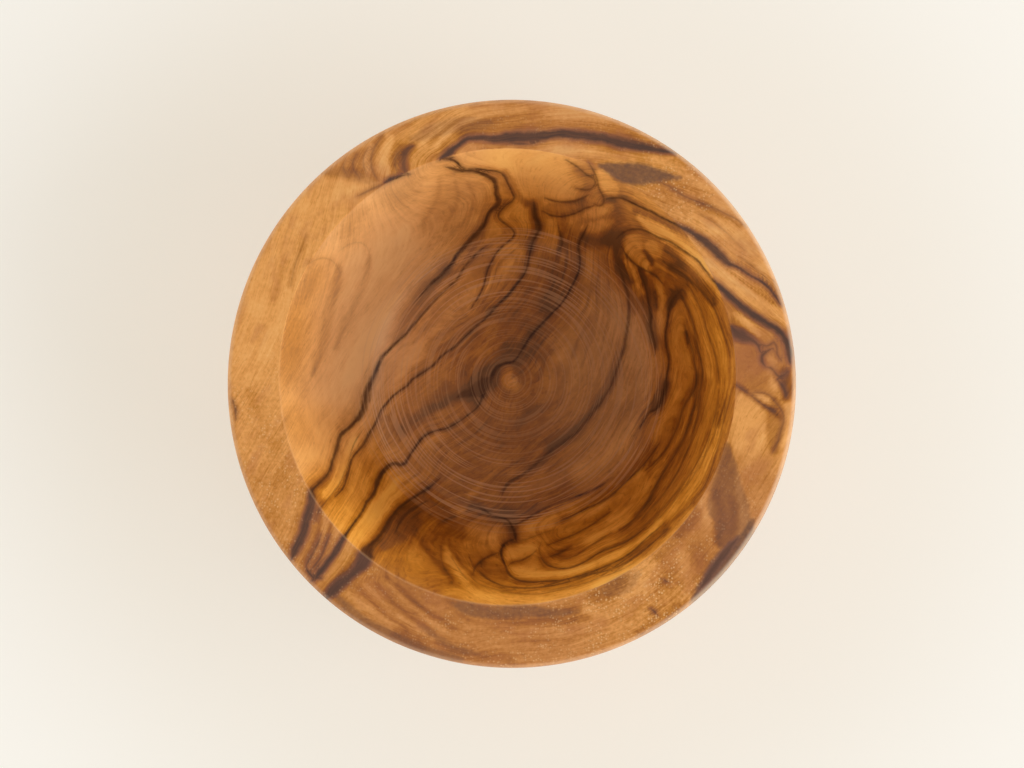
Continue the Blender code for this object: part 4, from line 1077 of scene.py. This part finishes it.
# A smooth track through a route's points, with the width at each, its ends narrowed by the taper
def smoothTrack(route, spacing, taper):
    points = np.array([(*point, 1.0)[:3] for point in route], float)
    points[0, 2] *= taper
    points[-1, 2] *= taper
    padded = np.vstack([2 * points[0] - points[1], points, 2 * points[-1] - points[-2]])
    runs = []
    for a, b, c, d in zip(padded, padded[1:], padded[2:], padded[3:]):
        steps = max(2, int(np.hypot(*(c - b)[:2]) / spacing))
        t = np.linspace(0, 1, steps, endpoint=False)[:, None]
        square = (2 * a - 5 * b + 4 * c - d) * t ** 2
        cube = (3 * b - a - 3 * c + d) * t ** 3
        runs.append((2 * b + (c - a) * t + square + cube) / 2)
    return np.vstack(runs + [points[-1:]])


# Each spot's distance from a route in pixels, its side, above 0 on the right, and the route's width there
def nearRoute(spots, route, reach, taper=grain["endTaper"]):
    track = smoothTrack(route, grain["smoothSpacing"], taper)
    gap = np.full(len(spots), reach)
    side = np.ones(len(spots))
    width = np.ones(len(spots))
    for first in range(0, len(track) - 1, grain["segmentsAtOnce"]):
        piece = track[first:first + grain["segmentsAtOnce"] + 1]
        low = piece[:, :2].min(0) - reach
        high = piece[:, :2].max(0) + reach
        near = np.flatnonzero(((spots > low) & (spots < high)).all(1))
        if not len(near):
            continue
        start = piece[:-1]
        run = piece[1:] - start
        offset = spots[near, None] - start[None, :, :2]
        share = np.clip((offset * run[:, :2]).sum(2) / (run[:, :2] ** 2).sum(1), 0, 1)
        away = offset - share[..., None] * run[None, :, :2]
        found = np.hypot(away[..., 0], away[..., 1])
        rows = np.arange(len(near))
        best = found.argmin(1)
        better = found[rows, best] < gap[near]
        chosen = near[better]
        gap[chosen] = found[rows, best][better]
        turned = run[best, 0] * away[rows, best, 1] - run[best, 1] * away[rows, best, 0]
        side[chosen] = np.where(turned < 0, -1, 1)[better]
        width[chosen] = (start[best, 2] + share[rows, best] * run[best, 2])[better]
    return gap, side, width


# A smooth height whose level lines run along the veins, for the fine growth lines between them
def ringHeight(spots):
    knots, slopes = [], []
    for vein in veins.values():
        if vein["rise"]:
            track = smoothTrack(vein["route"], grain["knotSpacing"], 1.0)[:, :2]
            run = np.gradient(track, axis=0)
            across = np.column_stack([-run[:, 1], run[:, 0]]) / np.hypot(run[:, 0], run[:, 1])[:, None]
            knots.append(track)
            slopes.append(vein["rise"] * across)
    size = grain["unitPixels"]
    knots = np.vstack(knots) / size
    slopes = np.vstack(slopes)
    count = len(knots)
    gap = knots[:, None] - knots[None]
    far = np.hypot(gap[..., 0], gap[..., 1])
    outer = gap[..., :, None] * gap[..., None, :]
    bend = far[..., None, None] * np.eye(2) + outer / np.maximum(far, grain["tiny"])[..., None, None]
    system = np.zeros((2 * count + 2, 2 * count + 2))
    system[:-2, :-2] = -3 * bend.transpose(0, 2, 1, 3).reshape(2 * count, 2 * count)
    system[:-2, :-2] += grain["ringSmoothing"] * np.eye(2 * count)
    system[:-2, -2:] = np.tile(np.eye(2), (count, 1))
    system[-2:, :-2] = system[:-2, -2:].T
    solved = np.linalg.solve(system, np.append(slopes.ravel(), (0, 0)))
    pulls = solved[:-2].reshape(count, 2)
    height = np.empty(len(spots))
    for first in range(0, len(spots), grain["pointsAtOnce"]):
        some = spots[first:first + grain["pointsAtOnce"]] / size
        gap = some[:, None] - knots[None]
        far = np.hypot(gap[..., 0], gap[..., 1])
        height[first:first + len(some)] = -3 * (far * (gap * pulls).sum(2)).sum(1) + some @ solved[-2:]
    print("growth lines fitted through", count, "points")
    return height * size / grain["pixelsPerMm"]


# The side and underside carry on the rim's figure down through the block, wandering as it goes
def grainSpots(points):
    spots = photoPixels(points)
    hidden = hiddenPoints(points)
    plan = photoPixels(np.column_stack([points[:, :2], np.full(len(points), cupHeight)]))
    depth = (cupHeight - points[:, 2]) / cupHeight
    turn = np.arctan2(points[:, 1], points[:, 0])

    def waves(name):
        return sum(size * np.sin(a * turn + b * depth + start) for a, b, start, size in grain[name])

    wander = grain["sideWander"] * depth[:, None] * np.column_stack([waves("sway"), waves("lean")])
    return np.where(hidden[:, None], plan + wander, spots)


def addField(piece, name, values):
    field = piece.data.attributes.new(name, "FLOAT", "POINT")
    field.data.foreach_set("value", values.astype(np.float32))


# The tones' values at each spot, the nearest patches weighing most
def blended(spots, patches):
    weight = np.full(len(spots), grain["tiny"])
    fields = np.outer(weight, grain["plainWood"])
    for x, y, reach, *values in patches.values():
        share = np.exp(-((spots[:, 0] - x) ** 2 + (spots[:, 1] - y) ** 2) / (2 * reach ** 2))
        weight += share
        fields += np.outer(share, values)
    return fields / weight[:, None]


# The nearest vein at each spot, and the smoke beside veins, which reaches further into older wood
def veinFields(spots):
    count = len(spots)
    nearest = np.full(count, -grain["reach"])
    gaps = np.full(count, grain["reach"])
    sides = np.ones(count)
    halves = np.zeros(count)
    darks = np.zeros(count)
    smoke = np.zeros(count)
    for vein in veins.values():
        gap, side, width = nearRoute(spots, vein["route"], grain["smokeReach"] + 2 * vein["half"])
        half = grain["veinWidth"] * vein["half"] * width
        nearer = half - gap > nearest
        nearest[nearer] = (half - gap)[nearer]
        gaps[nearer] = gap[nearer]
        sides[nearer] = side[nearer]
        halves[nearer] = half[nearer]
        darks[nearer] = vein["dark"]
        older = side * vein["rise"] < 0
        reach = grain["smokeReach"] * np.where(older, 1.0, grain["youngSmoke"])
        fall = np.clip(1 - np.maximum(gap - half, 0) / reach, 0, 1)
        smoke = np.maximum(smoke, vein["dark"] * fall ** 2)
    return {
        "veinAcross": sides * gaps,
        "veinGap": gaps,
        "veinHalf": halves,
        "veinDark": darks,
        "smoke": smoke,
    }


# How deep each spot lies in a stain, and how dark the stain is, fading down the block
def stainFields(spots, heights):
    deepest = np.full(len(spots), -grain["stainReach"])
    darks = np.zeros(len(spots))
    for stain in stains.values():
        gap, _, width = nearRoute(spots, stain["route"], grain["stainReach"] + 2 * stain["half"])
        inside = stain["half"] * width - gap
        nearer = inside > deepest
        deepest[nearer] = inside[nearer]
        darks[nearer] = stain["strength"]
    return {"stainInside": deepest, "stainDark": darks * (heights / cupHeight) ** 2}


def washedTone(spots, washes):
    tone = np.zeros(len(spots))
    for wash in washes.values():
        edge = wash.get("edge", 0)
        gap, _, width = nearRoute(spots, wash["route"], 3 * wash["half"] + edge, 1.0)
        if edge:
            rise = np.clip((wash["half"] * width - gap) / edge + 0.5, 0, 1)
            share = rise * rise * (3 - 2 * rise)
        else:
            share = np.exp(-(gap / (wash["half"] * width)) ** 2)
        tone += wash["tone"] * share
    return tone


def growGrain(piece):
    points = np.empty(len(piece.data.vertices) * 3)
    piece.data.vertices.foreach_get("co", points)
    points = points.reshape(-1, 3)
    heights = points[:, 2]
    spots = grainSpots(points)
    reach = np.hypot(*(points[:, :2] - cup["hollowAxis"]).T)
    arris = np.abs(reach - cup["mouthRadius"] - cup["chamfer"] / 2) < cup["chamfer"]
    arris &= heights > cupHeight - 2 * cup["chamfer"]
    onRim = hiddenPoints(points) | (heights > cupHeight - cup["chamfer"] / 2)
    washed = np.where(onRim, washedTone(spots, rimWashes), washedTone(spots, hollowWashes))
    patches = np.where(onRim[:, None], blended(spots, rimTones), blended(spots, hollowTones))
    tone, figure, specksAndGlints, mauveAndSheen = patches.T
    fields = {
        **veinFields(spots),
        **stainFields(spots, heights),
        "woodTone": tone + washed,
        "figure": figure,
        "specksAndGlints": specksAndGlints,
        "mauveAndSheen": mauveAndSheen,
        "onRim": onRim,
        "arris": arris,
        "ringHeight": ringHeight(spots),
    }
    for name, values in fields.items():
        addField(piece, name, values)
    washCount = len(rimWashes) + len(hollowWashes)
    print("grain grown:", len(veins), "veins,", len(stains), "stains,", washCount, "washes")


# Oiled olive wood: straw to umber by tone, fine growth lines, dark veins, pores and tool rings
# lines: the noise's scale across the growth lines or the tool rings and along them, and its detail
# clouds: the noise's scale per millimetre and its detail
# edges: where a soft step starts and ends
# shares: how much each thing counts

olive = {
    "palette": [
        (0.00, (0.920, 0.470, 0.150)),
        (0.20, (0.820, 0.365, 0.098)),
        (0.45, (0.560, 0.215, 0.032)),
        (0.72, (0.310, 0.096, 0.009)),
        (1.00, (0.115, 0.036, 0.006)),
    ],
    "rimVein": (0.092, 0.045, 0.031),
    "hollowVein": (0.054, 0.016, 0.004),
    "haloColour": (0.27, 0.115, 0.085),
    "stainColour": (0.150, 0.072, 0.046),
    "ringColour": (0.72, 0.39, 0.19),
    "paintedSheenColour": (0.78, 0.49, 0.26),
    "mauveColour": (0.42, 0.150, 0.064),
    "redColour": (0.46, 0.15, 0.045),
    "poreGlintColour": (0.95, 0.61, 0.29),
    "arrisHighlightColour": (0.80, 0.45, 0.20),
    "edgeHighlightColour": (0.84, 0.66, 0.47),
    "paintedHollowBounce": (1.0, 0.93, 0.45),
    "roughness": 0.45,
    "specular": 0.25,
    "poreScale": 3.8,
    "lines": {
        "broad": (0.8, 0.07, 2.0),
        "fine": (3.6, 0.22, 3.0),
        "fibres": (8.0, 0.45, 2.0),
        "growthBend": (0.45, 0.05, 2.0),
        "growthPatches": (0.9, 0.14, 2.0),
        "hairs": (5.0, 0.16, 1.0),
        "hairPatches": (0.9, 0.20, 2.0),
        "flecks": (9.0, 1.4, 1.0),
        "streaks": (6.0, 0.35, 2.0),
        "rust": (0.5, 0.30, 3.0),
        "fineRings": (5.4, 0.13, 0.0),
        "broadRings": (1.2, 0.12, 2.0),
    },
    "clouds": {
        "wander": (0.22, 2.0),
        "mottle": (0.45, 4.0),
        "specks": (2.6, 4.0),
        "ragged": (1.3, 3.0),
        "fray": (4.0, 2.0),
        "veinDepth": (0.7, 3.0),
        "porePatches": (0.5, 3.0),
        "ringPatches": (0.12, 0.0),
    },
    "edges": {
        "growthPatches": (0.36, 0.62),
        "hairs": (0.56, 0.66),
        "hairPatches": (0.40, 0.60),
        "flecks": (0.60, 0.70),
        "figured": (0.05, 0.30),
        "vein": (-1.2, 0.8),
        "halo": (0.0, 5.0),
        "stain": (-3.0, 2.5),
        "rust": (0.48, 0.70),
        "paintedSheen": (0.0, 0.5),
        "openPore": (0.42, 0.62),
        "porePatches": (0.40, 0.60),
        "poreRound": (0.20, 0.52),
        "arris": (0.5, 1.0),
        "lowerSide": (-2.0, 16.0),
        "highlightOut": (-0.75, -0.25),
        "highlightUp": (-1.4, -0.4),
        "highlightRight": (0.0, 24.0),
        "floorStart": (-1.0, -0.2),
        "floorEnd": (3.0, 7.0),
        "outerRings": (7.0, 12.5),
        "ringsEnd": (15.6, 17.6),
        "fineRings": (0.54, 0.62),
        "broadRings": (0.46, 0.66),
        "ringPatches": (0.35, 0.65),
        "nib": (0.3, 1.0),
        "nibEdgeStart": (0.7, 1.0),
        "nibEdgeEnd": (1.2, 1.8),
    },
    "shares": {
        "wander": 0.5,
        "growthPitch": 1.7,
        "growthBend": 2.2,
        "growthPeak": 3.0,
        "broad": 0.50,
        "fine": 0.55,
        "plainLines": 0.35,
        "figuredLines": 0.65,
        "fibres": 0.18,
        "figuredFibres": 0.16,
        "mottle": 0.40,
        "rimMottle": -0.14,
        "growth": 0.20,
        "specks": 0.20,
        "openSpecks": 0.30,
        "flecks": 0.10,
        "hairs": 0.20,
        "plainHairs": 0.3,
        "figuredHairs": 0.7,
        "smoke": 0.15,
        "rimSmoke": 0.09,
        "plainSmoke": 0.4,
        "linedSmoke": 1.2,
        "veinSlack": 1.1,
        "ragged": 0.9,
        "raggedWide": 0.8,
        "fray": 1.1,
        "wideSoft": 0.26,
        "veinFloor": 0.80,
        "veinDepth": 0.45,
        "veinStreaks": 0.6,
        "streakLevel": 0.4,
        "halo": 0.15,
        "rimHalo": 0.05,
        "haloTint": 0.45,
        "stainRagged": 3.5,
        "stainLines": 2.5,
        "stainFloor": 0.75,
        "stainSpecks": 0.5,
        "rust": 0.12,
        "rimRust": 0.23,
        "paintedSheen": 0.6,
        "mauve": 0.6,
        "poreGlints": 0.40,
        "lowerLean": -0.5,
        "arris": 0.14,
        "edgeHighlight": 0.18,
        "highlightRight": 0.25,
        "innerRings": 0.42,
        "outerRings": 0.58,
        "plainRings": 0.42,
        "patchyRings": 0.38,
        "broadRings": 0.18,
        "rings": 0.70,
        "ringsOnVeins": 0.7,
        "nib": 0.12,
        "nibEdge": 0.08,
        "roughMottle": 0.16,
        "roughFibres": 0.14,
        "bumpLines": 0.5,
        "bumpFibres": 0.5,
        "bumpRings": 0.4,
    },
    "bump": {"Strength": 0.25, "Distance": 0.00005},
}


def oliveWood():
    material, paint = freshMaterial("oiled_olive_wood")
    shares = olive["shares"]
    place = paint.node("ShaderNodeTexCoord", {}, {}, "Object")
    spot = paint.node("ShaderNodeVectorMath", {"operation": "SCALE"}, {0: place, "Scale": mm})
    x, y, z = (paint.node("ShaderNodeSeparateXYZ", {}, {0: spot}, i) for i in range(3))

    def field(name):
        return paint.node("ShaderNodeAttribute", {"attribute_name": name}, {}, "Fac")

    def noise(where, scale, detail):
        return paint.node("ShaderNodeTexNoise", {}, {"Vector": where, "Scale": scale, "Detail": detail})

    def cloud(name):
        return noise(spot, *olive["clouds"][name])

    def lined(name, across):
        acrossScale, lengthScale, detail = olive["lines"][name]
        parts = {0: across * acrossScale, 1: x * lengthScale, 2: y * lengthScale}
        return noise(paint.node("ShaderNodeCombineXYZ", {}, parts), 1.0, detail)

    def soft(value, name):
        return value.step(*olive["edges"][name])

    # How far a point lies from an upright axis
    def fromAxis(axis):
        offset = paint.node("ShaderNodeVectorMath", {"operation": "SUBTRACT"}, {0: spot, 1: axis})
        flat = paint.node("ShaderNodeVectorMath", {"operation": "MULTIPLY"}, {0: offset, 1: (1, 1, 0)})
        return paint.node("ShaderNodeVectorMath", {"operation": "LENGTH"}, {0: flat}, "Value")

    figure = field("figure")
    specksAndGlints = field("specksAndGlints")
    mauveAndSheen = field("mauveAndSheen")
    onRim = field("onRim")

    # Growth lines along the veins, fibres, mottling and specks
    ring = field("ringHeight") + shares["wander"] * cloud("wander")
    broadLines = lined("broad", ring)
    fineLines = lined("fine", ring)
    fibres = lined("fibres", ring)
    mottle = cloud("mottle")
    specks = cloud("specks")
    phase = ring * shares["growthPitch"] + shares["growthBend"] * lined("growthBend", ring)
    growth = (0.5 + 0.5 * paint.calc("SINE", phase * math.tau)) ** shares["growthPeak"]
    growth = growth * soft(lined("growthPatches", ring), "growthPatches")
    hairs = soft(lined("hairs", ring), "hairs") * soft(lined("hairPatches", ring), "hairPatches")
    flecks = soft(lined("flecks", ring), "flecks")
    growthLines = shares["broad"] * (broadLines - 0.5) + shares["fine"] * (fineLines - 0.5)
    tone = field("woodTone") + growthLines * (shares["plainLines"] + shares["figuredLines"] * figure)
    tone = tone + (shares["fibres"] + shares["figuredFibres"] * soft(figure, "figured")) * (fibres - 0.5)
    tone = tone + (shares["mottle"] + shares["rimMottle"] * onRim) * (mottle - 0.5)
    tone = tone + shares["growth"] * figure * growth
    tone = tone + (shares["specks"] + shares["openSpecks"] * specksAndGlints) * (specks - 0.5)
    tone = tone + shares["flecks"] * flecks
    tone = tone + shares["hairs"] * hairs * (shares["plainHairs"] + shares["figuredHairs"] * figure)
    smoke = (shares["smoke"] + shares["rimSmoke"] * onRim) * field("smoke")
    tone = tone + smoke * (shares["plainSmoke"] + shares["linedSmoke"] * fineLines)

    # Veins with frayed edges, a brown halo and streaks along them
    ragged = cloud("ragged") - 0.5
    fray = cloud("fray") - 0.5
    half = field("veinHalf")
    dark = field("veinDark")
    across = paint.calc("ABSOLUTE", field("veinAcross"))
    off = paint.calc("MAXIMUM", across, field("veinGap") - shares["veinSlack"]) - half
    off = off + (shares["ragged"] + shares["raggedWide"] * half) * ragged + shares["fray"] * fray
    inVein = 1 - soft(off / (1 + shares["wideSoft"] * half), "vein")
    depth = shares["veinFloor"] + shares["veinDepth"] * cloud("veinDepth")
    depth = depth + shares["veinStreaks"] * (lined("streaks", ring) - shares["streakLevel"])
    vein = inVein * dark * depth
    halo = dark * (1 - soft(off, "halo"))
    tone = tone + (shares["halo"] + shares["rimHalo"] * onRim) * halo
    veinEnds = {0: onRim, 6: (*olive["hollowVein"], 1), 7: (*olive["rimVein"], 1)}
    veinColour = paint.node("ShaderNodeMix", {"data_type": "RGBA"}, veinEnds, 2)
    inside = field("stainInside") + shares["stainRagged"] * ragged + shares["stainLines"] * (fineLines - 0.5)
    stain = soft(inside, "stain") * field("stainDark")
    stain = stain * (shares["stainFloor"] + shares["stainSpecks"] * specks)

    colour = paint.node("ShaderNodeValToRGB", {"stops": olive["palette"]}, {0: tone})
    rusty = soft(lined("rust", ring), "rust")
    colour = colour.tint(olive["redColour"], rusty * (shares["rust"] + shares["rimRust"] * onRim))
    # A painted deepening of the colour through the hollow, with less blue and green, standing in for light
    # bounced between its walls; it is left off where the painted sheen lies.
    colour = colour.tint(olive["paintedHollowBounce"], (1 - onRim) * (1 - soft(mauveAndSheen, "paintedSheen")), "MULTIPLY")
    # A painted pale sheen on the hollow's walls and floor; on the rim the same field gives the wood's real
    # mauve.
    colour = colour.tint(olive["paintedSheenColour"], mauveAndSheen * (1 - onRim) * shares["paintedSheen"])
    colour = colour.tint(olive["mauveColour"], mauveAndSheen * onRim * shares["mauve"])
    colour = colour.tint(olive["stainColour"], stain)
    colour = colour.tint(olive["haloColour"], halo * onRim * shares["haloTint"])
    colour = colour.tint(veinColour, vein)

    # Pale dots where the end grain is open, painted glints off its pores, and a painted highlight on the
    # inner edge of the rim
    cells = {"Vector": spot, "Scale": olive["poreScale"]}
    pores = paint.node("ShaderNodeTexVoronoi", {}, cells, "Distance")
    chance = paint.node("ShaderNodeTexVoronoi", {}, cells, "Color")
    openPore = paint.node("ShaderNodeSeparateColor", {}, {0: chance}, 0)
    openGrain = soft(openPore, "openPore") * soft(cloud("porePatches"), "porePatches")
    poreGlints = (1 - soft(pores, "poreRound")) * openGrain
    colour = colour.tint(olive["poreGlintColour"], poreGlints * specksAndGlints * shares["poreGlints"] * (1 - vein) * (1 - stain))
    # A painted highlight along the inner edge of the rim, on its lower side.
    lowerSide = soft(x * shares["lowerLean"] - y, "lowerSide")
    colour = colour.tint(olive["arrisHighlightColour"], soft(field("arris"), "arris") * lowerSide * shares["arris"])

    # A painted highlight along the outer edge of the rim, paler there and most on the right
    edgeHighlight = soft(fromAxis((0, 0, 0)) - cupRadius * mm, "highlightOut") * soft(z - cupHeight * mm, "highlightUp")
    highlightStrength = shares["edgeHighlight"] + shares["highlightRight"] * soft(x, "highlightRight")
    colour = colour.tint(olive["edgeHighlightColour"], edgeHighlight * highlightStrength)

    # Rings that the tool left on the floor, tinted paler as a painted sheen off their fine scratches, and the
    # nib in the middle
    radius = fromAxis((cup["hollowAxis"][0] * mm, cup["hollowAxis"][1] * mm, 0))
    rise = z - (cupHeight - cup["hollowDepth"]) * mm
    onFloor = soft(rise, "floorStart") * (1 - soft(rise, "floorEnd"))
    inRings = onFloor * (1 - soft(radius, "ringsEnd"))
    inRings = inRings * (shares["innerRings"] + shares["outerRings"] * soft(radius, "outerRings"))
    fineRings = soft(lined("fineRings", radius), "fineRings")
    broadRings = soft(lined("broadRings", radius), "broadRings")
    patchy = shares["plainRings"] + shares["patchyRings"] * soft(cloud("ringPatches"), "ringPatches")
    toolRings = inRings * (fineRings * patchy + shares["broadRings"] * broadRings)
    ringTint = toolRings * shares["rings"] * (1 - shares["ringsOnVeins"] * vein)
    # The pale tint on the tool rings is a painted sheen.
    colour = colour.tint(olive["ringColour"], ringTint)
    nibEdge = soft(radius, "nibEdgeStart") * (1 - soft(radius, "nibEdgeEnd"))
    colour = colour.tint(olive["hollowVein"], onFloor * nibEdge * shares["nibEdge"])
    colour = colour.tint(olive["ringColour"], onFloor * (1 - soft(radius, "nib")) * shares["nib"])

    roughness = olive["roughness"] + shares["roughMottle"] * (mottle - 0.5)
    roughness = roughness + shares["roughFibres"] * (fibres - 0.5)
    height = shares["bumpLines"] * fineLines + shares["bumpFibres"] * fibres + shares["bumpRings"] * toolRings
    bump = paint.node("ShaderNodeBump", {}, {"Height": height, **olive["bump"]})
    finish = {"Base Color": colour, "Roughness": roughness, "Normal": bump,
              "Specular IOR Level": olive["specular"]}
    surface = paint.node("ShaderNodeBsdfPrincipled", {}, finish)
    paint.node("ShaderNodeOutputMaterial", {}, {"Surface": surface})
    print("wood dressed:", len(material.node_tree.nodes), "nodes")
    return material


bpy.context.scene.view_settings.view_transform = "Standard"
addCamera()
addFloor()
addSky()
addLamps()
cupPiece = modelCup()
growGrain(cupPiece)
cupPiece.data.materials.append(oliveWood())

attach(cupPiece, "root")
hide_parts("turned_cup")
